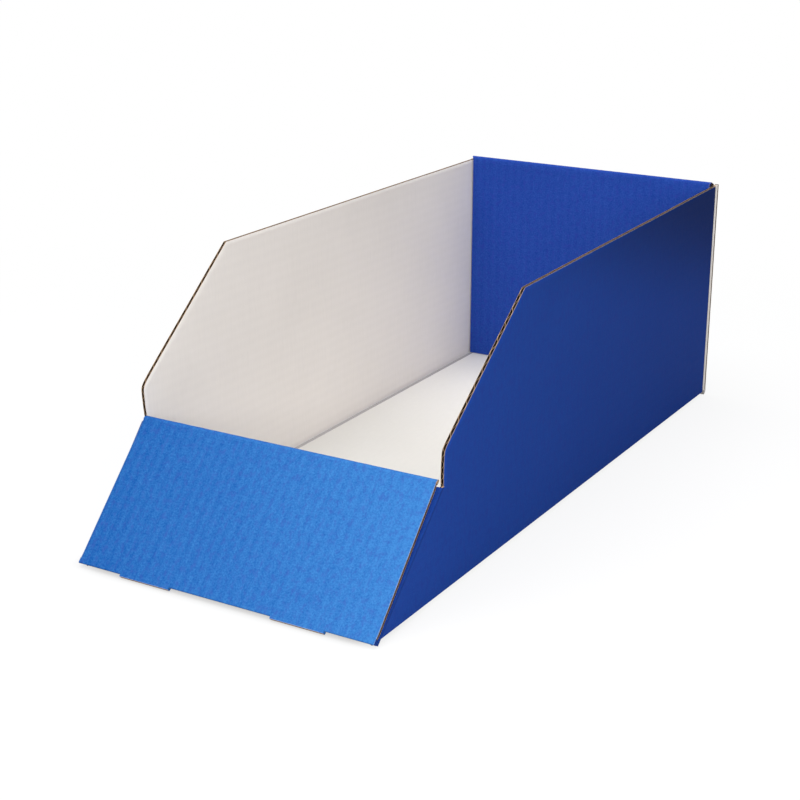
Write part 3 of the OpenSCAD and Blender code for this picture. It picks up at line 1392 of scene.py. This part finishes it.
@dataclass
class BackTab(Panel):
    """A tab of a side wall that stands between the two layers of the back."""

    width: float = 56.0
    drop: float = 0.6
    foot_play: float = 0.3
    rows: int = 10

    def __post_init__(self) -> None:
        """Name the tab and start its flutes at its foot."""
        self.prefix = self.body = f"{self.side.word}_back_tab"
        self.start = self.sizes.board_t + 2 * self.foot_play

    def outline(self, layer: Layer) -> Outline:
        """A tab that narrows away from the wall.

        Args:
            layer: The layer.

        Returns:
            The outline.
        """
        s = self.sizes
        low, high = self.start, s.height - s.board_t - 2 * s.layer_gap
        corners = [
            (low, 0.0), (high, 0.0), (high - self.drop * self.width, self.width),
            (low + s.board_t, self.width),
        ]
        return Outline(corners, [Rim.CUT] * 4)

    def place(self, u: float, v: float, w: float) -> Vector:
        """Heights are across the flutes, which run away from the wall.

        Args:
            u: The place across the flutes.
            v: The place along them.
            w: The depth below the outside.

        Returns:
            The point in the bin.
        """
        s = self.sizes
        x = s.in_w - s.fold_play - v
        return Vector((self.side.value * x, s.tab_face_y + s.board_t - w, u))


# Folds


@dataclass
class Crease:
    """A fold of crushed board, bent round a line."""

    sizes: BinSizes
    node: str
    outer: Material
    inner: Material
    raw: Material
    turn: float
    length: float
    to_bin: Matrix
    radius: float
    crushed: float = 2.7
    body: str = "bin"
    slot: str = "printed_fold"
    gaps: tuple[Point, ...] = ()
    dents: float = 0.10
    dent_size: Point = (3.0, 6.0)
    dent_seed: float = 7.7
    slant: Point = (0.0, 0.0)
    folded: int = 1
    drawn_on: Drawing | None = None

    def build(self) -> Piece:
        """Make the fold.

        The board is drawn out flat, one radius wide for each radian that it turns, and bent
        round the X axis of its own frame, from +Y towards +Z.

        Returns:
            The piece.
        """
        arc = self.turn * self.radius
        outline = rectangle(0.0, arc, 0.0, self.length, "cfcf")
        outline.holes = [(-1.0, arc + 1.0, a, b) for a, b in self.gaps]
        steps = (max(6, round(math.degrees(self.turn) / 7.5)), max(8, round(self.length / 5)))

        def put(u: float, v: float, d: float) -> Vector:
            """Bend the point round the line.

            Args:
                u: The place across the sheet.
                v: The place along it.
                d: 0 on its outside, 1 on its inside.

            Returns:
                The point in the bin.
            """
            share = min(1.0, max(0.0, u / arc))
            dent = self.dents * math.sin(math.pi * share) * (1 - d) * self.dented(u, v)
            skin = self.profile(share)
            inner = skin.normalized() * (self.radius - self.crushed)
            y, z = skin.lerp(inner, d) * (1 - dent / self.radius)
            longer = self.slant[0] + (self.slant[1] - self.slant[0]) * share
            return self.to_bin @ Vector((v * (1 + longer / self.length), y, z))

        return self.bent(outline, steps, put, self.folded)

    def bent(self, outline: Outline, steps: tuple[int, int], put: Place, folded: int) -> Piece:
        """Make the fold's sheet.

        Args:
            outline: Its flat outline.
            steps: The squares of its grid, across and along.
            put: How it is put in place.
            folded: Which of its materials its folded sides have.

        Returns:
            The piece.
        """
        sheet = Sheet(
            f"{self.node}_bend", self.body, (self.node,), self.slot, outline, steps, put,
            (self.outer, self.inner, self.raw), folded=folded, drawn_on=self.drawn_on,
            **PLAIN_SIDES,
        )
        return sheet.build()

    def dented(self, u: float, v: float) -> float:
        """How deep a dent is at a place, about a half on average."""
        across, along = self.dent_size
        return 0.5 + noise.noise(Vector((v / along, u / across, self.dent_seed)))

    def profile(self, share: float) -> Vector:
        """The bend's outside across its line.

        Args:
            share: How far round, from 0 to 1.

        Returns:
            The point, from the line that the board bends round.
        """
        angle = share * self.turn
        return self.radius * Vector((math.cos(angle), math.sin(angle)))


@dataclass
class SharpCrease(Crease):
    """A fold pressed to a sharp edge, given by the corners of its outside."""

    corners: tuple[Point, ...] = ()
    soft: float = 0.06

    def __post_init__(self) -> None:
        """Measure the outside from corner to corner."""
        last = (self.radius * math.cos(self.turn), self.radius * math.sin(self.turn))
        points = [Vector(p) for p in ((self.radius, 0.0), *self.corners, last)]
        lengths = [(b - a).length for a, b in zip(points, points[1:])]
        self.legs = list(zip(points, points[1:], lengths))

    def corner_profile(self, share: float) -> Vector:
        """The outside with its corners still hard, by the share of its length.

        Args:
            share: How far along its length, from 0 to 1.

        Returns:
            The point, from the line that the board bends round.
        """
        rest = min(1.0, max(0.0, share)) * sum(leg[2] for leg in self.legs)
        for a, b, length in self.legs[:-1]:
            if rest <= length:
                return a.lerp(b, rest / length)
            rest -= length
        a, b, length = self.legs[-1]
        return a.lerp(b, min(1.0, rest / length))

    def profile(self, share: float) -> Vector:
        """The outside with its corners a little rounded, by the share of its length.

        Args:
            share: How far along its length, from 0 to 1.

        Returns:
            The point, from the line that the board bends round.
        """
        soft = min(self.soft, share, 1 - share)
        near = [self.corner_profile(share + k * soft / 2) for k in (-2, -1, 0, 1, 2)]
        return sum(near, Vector((0, 0))) / len(near)


def axes(origin: Vector, x: Vector, y: Vector) -> Matrix:
    """The frame with an origin, an X and a Y.

    Args:
        origin: Where it starts.
        x: Its X axis, along the fold.
        y: Its Y axis, from the fold's line to where the bend begins.

    Returns:
        The matrix from this frame to the bin's.
    """
    z = x.cross(y)
    turned = Matrix((x, y, z)).transposed().to_4x4()
    return Matrix.Translation(origin) @ turned


@dataclass
class Folds:
    """All the folds of the bin."""

    sizes: BinSizes
    looks: Finishes
    edge_up: float = 3.7
    under: Point = (3.4, 1.95)
    crown_play: float = 0.1

    def build(self) -> list[Piece]:
        """Make the folds.

        Returns:
            The pieces.
        """
        creases = [
            *self.base_folds(),
            *self.corner_folds(),
            self.front_top(),
        ]
        made = [crease.build() for crease in creases] + [self.back_top(), self.crown()]
        made += [FrontCorner(self.sizes, self.looks, side).build() for side in Side]
        return made + [SlotLip(self.sizes, self.looks, side).build() for side in Side]

    def crease(
        self,
        node: str,
        outer: Material,
        start: Vector,
        end: Vector,
        first: Vector,
        turn: float,
        **more: object,
    ) -> Crease:
        """Set up one fold.

        Args:
            node: The frame's node.
            outer: Its outside's material.
            start: One end of the line that it bends round.
            end: The other end.
            first: The direction from that line to where the bend begins.
            turn: The angle that it turns through.
            **more: Other fields of the fold.

        Returns:
            The fold.
        """
        line = end - start
        more.setdefault("radius", self.sizes.board_t)
        kind = SharpCrease if "corners" in more else Crease
        return kind(
            self.sizes, node, outer, self.looks.deep_crease, more.pop("raw", outer), turn,
            line.length, axes(start, line.normalized(), first.normalized()), **more,
        )

    def base_folds(self) -> list[Crease]:
        """The folds along the four sides of the base.

        Returns:
            The folds.
        """
        s = self.sizes
        made = []
        front = s.front_y + (s.board_t + s.layer_gap) / math.sin(s.ramp_angle) + s.board_t / 2
        for side in Side:
            x = side.value * s.in_w
            ends = [Vector((x, front, s.board_t)), Vector((x, s.tab_face_y, s.board_t))]
            if side is Side.LEFT:
                ends.reverse()
            node = f"{side.word}_base_fold"
            out = Vector((0, 0, -1))
            made.append(
                self.crease(node, self.looks.wall_fold, *ends, out, math.pi / 2, crushed=2.85)
            )
        half = s.half_w
        gap = s.lock_w / 2 - s.lip_short
        slots = tuple((half + c - gap, half + c + gap) for c in (-s.lock_x, s.lock_x))
        front_line = [Vector((x, s.base_front_y, s.board_t)) for x in (-half, half)]
        rise, run = math.sin(s.ramp_angle), math.cos(s.ramp_angle)
        centre = Vector((s.base_front_y - s.front_y, s.board_t))
        edge = Vector((self.edge_up * run, self.edge_up * rise)) - centre
        under = Vector(self.under) - centre
        corners = [(p.x * -rise + p.y * run, -p.x * run - p.y * rise) for p in (edge, under)]
        made.append(
            self.crease(
                "front_base_fold", self.looks.foot_print, *front_line, Vector((0, -rise, run)),
                math.pi - s.ramp_angle, gaps=slots, slot="bare_fold", crushed=1.9,
                corners=tuple(corners), dents=0.0, raw=self.looks.groove_print, folded=0,
                drawn_on=lambda u, v: (v - half, s.ramp_foot - u),
            )
        )
        back_line = [Vector((x, s.base_back_y, s.board_t)) for x in (-half, half)]
        made.append(
            self.crease(
                "back_base_fold", self.looks.white_fold, *back_line,
                Vector((0, 0, -1)), math.pi / 2, slot="bare_fold",
            )
        )
        return made

    def corner_folds(self) -> list[Crease]:
        """The upright folds between the side walls and their back tabs.

        Returns:
            The folds.
        """
        s = self.sizes
        made = []
        for side in Side:
            x = side.value * s.in_w
            ends = [Vector((x, s.tab_face_y, z)) for z in (s.board_t, s.height)]
            first = Vector((1, 0, 0)) if side is Side.RIGHT else Vector((0, 1, 0))
            node = f"{side.word}_back_fold"
            slant = (0.0, s.ear_rise) if side is Side.RIGHT else (s.ear_rise, 0.0)
            made.append(
                self.crease(
                    node, self.looks.white_fold, *ends, first, math.pi / 2, slot="bare_fold",
                    slant=slant, crushed=1.3, raw=self.looks.raw_edge,
                )
            )
        return made

    def front_top(self) -> Crease:
        """The rolled fold over the top of the ramp.

        Returns:
            The fold.
        """
        s = self.sizes
        run, rise = math.cos(s.ramp_angle), math.sin(s.ramp_angle)
        half = s.half_w
        start = Vector((-half, *s.on_ramp(s.ramp_end, s.sandwich / 2)))
        return RolledTop(
            s, "front_top_fold", self.looks.ramp_print, self.looks.base_white,
            self.looks.raw_edge, 0.0, 2 * half,
            axes(start, Vector((1, 0, 0)), Vector((0, rise, -run))), radius=s.board_t,
            crushed=2.1, taper=half - s.front_liner_w,
            drawn_on=lambda u, v: (v - half, s.ramp_end + u),
        )

    def back_top(self) -> Piece:
        """The top of the outer back, rounded about the line on which the crown turns.

        Returns:
            The piece.
        """
        s = self.sizes
        bm = bar(s.board_t, 2 * s.board_t, s.crest_w, s.board_t / 2 - 0.05)
        lowered = Vector((0, s.crown_y, s.crown_z - s.board_t / 2))
        bmesh.ops.translate(bm, vec=lowered, verts=bm.verts)
        trim_below(bm, s.height - s.board_t)
        looks = (self.looks.back_fold, self.looks.kraft)
        return bent_bar(bm, "back_top_fold", "bin", looks)

    def crown(self) -> Piece:
        """The strip between the two folds of the rolled-over back.

        Returns:
            The piece.
        """
        s = self.sizes
        length = math.hypot(s.roll_z - s.crown_z, s.crown_y - s.roll_y)
        near = s.board_t / 2 + s.fold_play + self.crown_play
        bm = bar(length - near, s.board_t, s.crest_w, 0.04)
        bmesh.ops.translate(bm, vec=Vector((0, -(length + near) / 2, 0)), verts=bm.verts)
        turn = Matrix.Rotation(-s.crown_lean, 4, "X")
        bmesh.ops.transform(bm, matrix=turn, verts=bm.verts)
        bmesh.ops.translate(bm, vec=Vector((0, s.crown_y, s.crown_z)), verts=bm.verts)
        looks = (self.looks.back_fold, self.looks.kraft)
        return bent_bar(bm, "back_crown", "crown", looks)


@dataclass
class RolledTop(Crease):
    """Two folds with a narrow flat between them, narrower towards the inner layer."""

    taper: float = 0.0
    dent_size: Point = (4.0, 7.0)
    dent_seed: float = 2.2

    def build(self) -> Piece:
        """Make the rolled top.

        Returns:
            The piece.
        """
        quarter = math.pi / 2 * self.radius
        flat = self.sizes.sandwich - 2 * self.radius
        total = 2 * quarter + flat
        outline = rectangle(0.0, total, 0.0, self.length, "cfcf")

        def put(u: float, v: float, d: float) -> Vector:
            """Bend the point over both folds.

            Args:
                u: The place across the sheet.
                v: The place along it.
                d: 0 on its outside, 1 on its inside.

            Returns:
                The point in the bin.
            """
            dent = self.dents * (1 - d) * self.dented(u, v)
            r = self.radius - d * self.crushed - dent * math.sin(math.pi * u / total)
            if u < quarter:
                angle = u / self.radius
                across = -flat / 2 - r * math.cos(angle)
            elif u < quarter + flat:
                across, angle = u - quarter - flat / 2, math.pi / 2
            else:
                angle = math.pi / 2 - (u - quarter - flat) / self.radius
                across = flat / 2 + r * math.cos(angle)
            share = min(1.0, max(0.0, across / self.sizes.sandwich + 0.5))
            narrow = 1 - 2 * self.taper * share**2.5 / self.length
            along = self.length / 2 + (v - self.length / 2) * narrow
            return self.to_bin @ Vector((along, across, r * math.sin(angle)))

        return self.bent(outline, (30, max(8, round(self.length / 5))), put, 0)


@dataclass
class FrontCorner:
    """The tight fold between a side wall and its front tab, behind the ramp's edge."""

    sizes: BinSizes
    looks: Finishes
    side: Side
    tight: float = 0.35
    tab_w: float = 4.5
    board: float = 1.2
    foot_play: float = 0.4

    def build(self) -> Piece:
        """Make the fold, which runs along the wall, turns and goes on into the tab.

        Returns:
            The piece.
        """
        s = self.sizes
        run, rise = math.cos(s.ramp_angle), math.sin(s.ramp_angle)
        low = (self.foot_play + s.fold_depth * run) / rise
        leg = s.fold_depth - s.board_t - s.layer_gap - self.tight
        turn = self.tight * math.pi / 2
        outline = rectangle(0.0, leg + turn + self.tab_w, low, s.ramp_end, "cfcf")

        def put(u: float, v: float, d: float) -> Vector:
            """Bend the point, with the fold's top end level.

            Args:
                u: The place across the sheet.
                v: The place along it.
                d: 0 on its outside, 1 on its inside.

            Returns:
                The point in the bin.
            """
            angle = min(math.pi / 2, max(0.0, u - leg) / self.tight)
            on = max(0.0, u - leg - turn)
            depth = s.fold_depth - min(u, leg) - self.tight * math.sin(angle)
            inward = self.tight * (1 - math.cos(angle)) + on + self.board * d * math.cos(angle)
            high = (s.notch_z + depth * run) / rise
            along = low + (v - low) / (s.ramp_end - low) * (high - low)
            y, z = s.on_ramp(along, depth + self.board * d * math.sin(angle))
            return Vector((self.side.value * (s.half_w + s.bow(y, z) - inward), y, z))

        def drawn_on(u: float, v: float) -> Point:
            """Carry the wall's print on."""
            return v * rise - s.fold_depth * run + u, s.front_y + v * run + s.fold_depth * rise

        node = f"{self.side.word}_front_fold"
        looks = (self.looks.groove_print, self.looks.kraft, self.looks.raw_edge)
        sheet = Sheet(
            f"{node}_bend", "bin", (node,), "printed_fold", outline, (40, 30), put, looks,
            drawn_on=drawn_on, **PLAIN_SIDES,
        )
        return sheet.build()


@dataclass
class SlotLip:
    """A lip that stands out below the ramp's fold, cut from one of the base's slots."""

    sizes: BinSizes
    looks: Finishes
    side: Side
    foot: float = 2.4
    thin: float = 2.2
    side_play: float = 0.03

    def build(self) -> Piece:
        """Make the lip, which is thinner towards its foot.

        Returns:
            The piece.
        """
        s = self.sizes
        middle = self.side.value * s.lock_x
        half = s.lock_w / 2 - s.lip_short - self.side_play
        outline = rectangle(middle - half, middle + half, self.foot, s.ramp_foot, "cfff")

        def put(u: float, v: float, d: float) -> Vector:
            """Set the point on the slope."""
            full = min(1.0, (v - self.foot) / s.board_t)
            return Vector((u, *s.on_ramp(v, d * (self.thin + (s.board_t - self.thin) * full))))

        looks = (self.looks.ramp_print, self.looks.kraft, self.looks.raw_edge)
        sheet = Sheet(
            f"{self.side.word}_slot_lip", "bin", ("front_slot_lips",), "printed_fold",
            outline, (10, 24), put, looks, **PLAIN_SIDES,
        )
        return sheet.build()


def bar(width: float, height: float, length: float, radius: float) -> Mesh:
    """A long bar along X with rounded long edges.

    Args:
        width: Its size in Y.
        height: Its size in Z.
        length: Its size in X.
        radius: The radius of its long edges.

    Returns:
        The bar's mesh, about the origin.
    """
    bm = bmesh.new()
    bmesh.ops.create_cube(bm, size=1.0)
    bmesh.ops.scale(bm, vec=Vector((length, width, height)), verts=bm.verts)
    long_edges = [e for e in bm.edges if abs(e.verts[0].co.x - e.verts[1].co.x) > length / 2]
    bmesh.ops.bevel(
        bm, geom=long_edges, offset=min(radius, width / 2 - 0.02, height / 2 - 0.02),
        offset_type="OFFSET", affect="EDGES", segments=8, profile=0.5, material=-1,
    )
    rings = [e for e in bm.edges if abs(e.verts[0].co.x - e.verts[1].co.x) > length / 2]
    bmesh.ops.subdivide_edges(bm, edges=rings, cuts=40, use_grid_fill=True)
    return bm


def trim_below(bm: Mesh, z: float) -> None:
    """Cut a closed mesh off below a height and close the cut.

    Args:
        bm: The mesh.
        z: The height.
    """
    geom = [*bm.verts, *bm.edges, *bm.faces]
    cut = bmesh.ops.bisect_plane(
        bm, geom=geom, dist=1e-5, plane_co=(0, 0, z), plane_no=(0, 0, -1), clear_outer=True
    )
    edges = [g for g in cut["geom_cut"] if isinstance(g, bmesh.types.BMEdge)]
    bmesh.ops.contextual_create(bm, geom=edges)


def bent_bar(
    bm: Mesh, node: str, body: str, looks: tuple[Material, ...]
) -> Piece:
    """Finish a bar that stands for a fold.

    Args:
        bm: The bar, in place, in millimetres.
        node: The frame's node.
        body: The body that it rides on.
        looks: The materials of its skin and of its cut ends.

    Returns:
        The piece.
    """
    uv = bm.loops.layers.uv.new("sheet")
    rim = bm.verts.layers.float.new("rim")
    for vert in bm.verts:
        vert[rim] = 0.5
    bm.normal_update()
    for face in bm.faces:
        face.smooth = abs(face.normal.x) < 0.5
        face.material_index = 0 if face.smooth else 1
        for loop in face.loops:
            co = loop.vert.co
            loop[uv].uv = ((co.y + co.z) * MM, co.x * MM)
    for edge in bm.edges:
        edge.smooth = len({f.smooth for f in edge.link_faces}) == 1
    bmesh.ops.scale(bm, vec=Vector((MM,) * 3), verts=bm.verts)
    bmesh.ops.recalc_face_normals(bm, faces=bm.faces)
    return finished(bm, f"{node}_bend", body, (node,), "printed_fold", looks)


# Taken over from the frame


@dataclass
class TakenOver:
    """The frame's own solids that stay, each with its finish."""

    looks: Finishes

    def dress(self) -> None:
        """Give the front tabs and the lock tabs their materials."""
        looks = self.looks
        by_end = {
            "outside_paper": looks.solid_print,
            "inside_paper": looks.solid_white,
            "flutes": looks.solid_kraft,
            "lock_tabs": looks.solid_print,
        }
        for name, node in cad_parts.items():
            if node.hide_render:
                continue
            look = next(m for end, m in by_end.items() if name.endswith(end))
            node.data.materials.clear()
            node.data.materials.append(look)
            LOG.info("%s: dressed as %s", name, look.name)


# Studio


@dataclass(frozen=True)
class Studio:
    """A white floor, soft lamps, and the camera of the photograph."""

    target: Spot = (0.0, -0.0416, 0.0600)
    azimuth: float = 30.502
    elevation: float = 19.186
    roll: float = 0.146
    distance: float = 1.0325
    focal_px: float = 1672.6
    frame_px: float = 800.0
    floor_white: float = 0.92
    floor_bounce: float = 0.50
    floor_half: float = 6.0
    veil: float = 0.84
    veil_full: Point = (350.0, 700.0)
    # Where the painted shadow along the ramp's foot lies, how far it reaches and how dark it is.
    foot_y: float = -227.0
    foot_ends: tuple[Point, Point] = ((-112.0, -78.0), (102.0, 78.0))
    foot_reach: float = 7.3
    foot_dark: float = 0.33
    sky: Colour = (0.97, 0.98, 1.0)
    sky_strength: float = 0.34
    top_lamp: tuple[Spot, float, float] = ((-0.25, -0.10, 2.1), 2.2, 45.0)
    front_lamp: tuple[Spot, float, float] = ((0.55, -0.80, 0.42), 0.4, 4.6)
    lamps_aim: Spot = (0.0, 0.0, 0.05)

    def build(self) -> None:
        """Set up the whole studio."""
        bpy.context.scene.view_settings.view_transform = "Standard"
        self.camera()
        self.floor()
        self.world()
        self.lamp("top", *self.top_lamp)
        self.lamp("front", *self.front_lamp)

    def camera(self) -> None:
        """Put the camera where the photograph was taken from."""
        az, el = math.radians(self.azimuth), math.radians(self.elevation)
        away = Vector(
            (math.sin(az) * math.cos(el), -math.cos(az) * math.cos(el), math.sin(el))
        )
        data = bpy.data.cameras.new("camera")
        data.sensor_width = data.sensor_height = 36.0
        data.sensor_fit = "HORIZONTAL"
        data.lens = self.focal_px / self.frame_px * data.sensor_width
        data.clip_start = 0.05
        data.clip_end = 50.0
        camera = bpy.data.objects.new("camera", data)
        camera.location = Vector(self.target) + self.distance * away
        turned = away.to_track_quat("Z", "Y") @ Quaternion((0, 0, 1), math.radians(self.roll))
        camera.rotation_euler = turned.to_euler()
        bpy.context.scene.collection.objects.link(camera)
        bpy.context.scene.camera = camera

    def floor(self) -> None:
        """Lay a white floor that keeps the bin's shadow, with a painted shadow along the ramp's
        foot.
        """
        bm = bmesh.new()
        bmesh.ops.create_grid(bm, x_segments=2, y_segments=2, size=self.floor_half)
        mesh = bpy.data.meshes.new("floor")
        bm.to_mesh(mesh)
        bm.free()
        floor = bpy.data.objects.new("floor", mesh)
        bpy.context.scene.collection.objects.link(floor)
        g = Graph("floor")
        ray = g.add("LightPath").outputs["Is Camera Ray"]
        here = g.place_mm(on_solid=True)
        grain = g.noise(here, (0.004, 2.0, 0.55))
        white = (self.floor_white,) * 3
        tone = g.mix(grain, (*white, 1), (*(0.985 * w for w in white), 1))
        tone = g.mix(ray, (*(self.floor_bounce,) * 3, 1), tone)
        g.matt(tone, 0.9, 0.1)
        away = g.add("VectorMath", {0: here}, operation="LENGTH").outputs["Value"]
        veil = g.math("MULTIPLY_ADD", g.band(away, *self.veil_full), 1 - self.veil, self.veil)
        # Painted shadow: the floor's glow darkens along the ramp's foot.
        lit = g.mix(self.contact(g, here), (1, 1, 1, 1), (0, 0, 0, 1))
        glow = g.add("Emission", {"Color": lit})
        both = g.add(
            "MixShader",
            {0: g.math("MULTIPLY", ray, veil), 1: g.shader.outputs[0], 2: glow.outputs[0]},
        )
        g.feed(g.tree.nodes["Material Output"].inputs["Surface"], both.outputs[0])
        mesh.materials.append(g.material)
        floor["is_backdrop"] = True

    def contact(self, g: Graph, here: object) -> Socket:
        """A painted shadow: a soft dark line on the floor along the foot of the ramp.

        Args:
            g: The floor's graph.
            here: Coordinates in millimetres.

        Returns:
            How dark it is.
        """
        place = g.add("SeparateXYZ", {0: here})
        front = self.foot_y
        off = g.math("MAXIMUM", g.math("SUBTRACT", front, place.outputs["Y"]), 0.0)
        off = g.math("DIVIDE", off, self.foot_reach)
        dark = g.math("POWER", math.e, g.math("MULTIPLY", g.math("MULTIPLY", off, off), -1.0))
        for start, full in self.foot_ends:
            dark = g.math("MULTIPLY", dark, g.band(place.outputs["X"], start, full))
        ahead = g.band(place.outputs["Y"], front + 60, front + 20)
        return g.math("MULTIPLY", g.math("MULTIPLY", dark, ahead), self.foot_dark)

    def world(self) -> None:
        """Light everything softly, before a white background."""
        world = bpy.data.worlds.new("studio")
        bpy.context.scene.world = world
        world.use_nodes = True
        tree = world.node_tree
        soft = tree.nodes["Background"]
        soft.inputs["Color"].default_value = (*self.sky, 1)
        soft.inputs["Strength"].default_value = self.sky_strength
        seen = tree.nodes.new("ShaderNodeBackground")
        seen.inputs["Color"].default_value = (1, 1, 1, 1)
        ray = tree.nodes.new("ShaderNodeLightPath")
        mixed = tree.nodes.new("ShaderNodeMixShader")
        tree.links.new(ray.outputs["Is Camera Ray"], mixed.inputs[0])
        tree.links.new(soft.outputs[0], mixed.inputs[1])
        tree.links.new(seen.outputs[0], mixed.inputs[2])
        tree.links.new(mixed.outputs[0], tree.nodes["World Output"].inputs["Surface"])

    def lamp(self, name: str, at: Spot, size: float, watts: float) -> None:
        """Hang a square soft lamp that points at the bin.

        Args:
            name: Its name.
            at: Where it hangs.
            size: Its width.
            watts: Its power.
        """
        data = bpy.data.lights.new(name, "AREA")
        data.shape = "SQUARE"
        data.size = size
        data.energy = watts
        lamp = bpy.data.objects.new(name, data)
        lamp.location = at
        away = Vector(at) - Vector(self.lamps_aim)
        lamp.rotation_euler = away.to_track_quat("Z", "Y").to_euler()
        bpy.context.scene.collection.objects.link(lamp)


def main() -> None:
    """Build the bin from its panels, folds and finishes, and light it."""
    logging.basicConfig(level=logging.INFO, format="%(name)s %(message)s")
    sizes = BinSizes.from_frame()
    looks = Finishes()
    panels: list[Panel] = [
        Base(sizes, looks),
        FrontRamp(sizes, looks),
        FrontLiner(sizes, looks),
        Back(sizes, looks),
        BackLiner(sizes, looks),
    ]
    for side in Side:
        panels += [SideWall(sizes, looks, side), BackTab(sizes, looks, side)]
    for panel in panels:
        LOG.info("%s: %d papers", panel.prefix, len(panel.build()))
    LOG.info("folds: %d", len(Folds(sizes, looks).build()))
    TakenOver(looks).dress()
    Studio().build()
    boxes = {"cad": CAD_BOX, "visual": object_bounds()}
    {k: [[float(x) for x in c] for c in b] for k, b in boxes.items()}


if __name__ == "__main__":
    main()
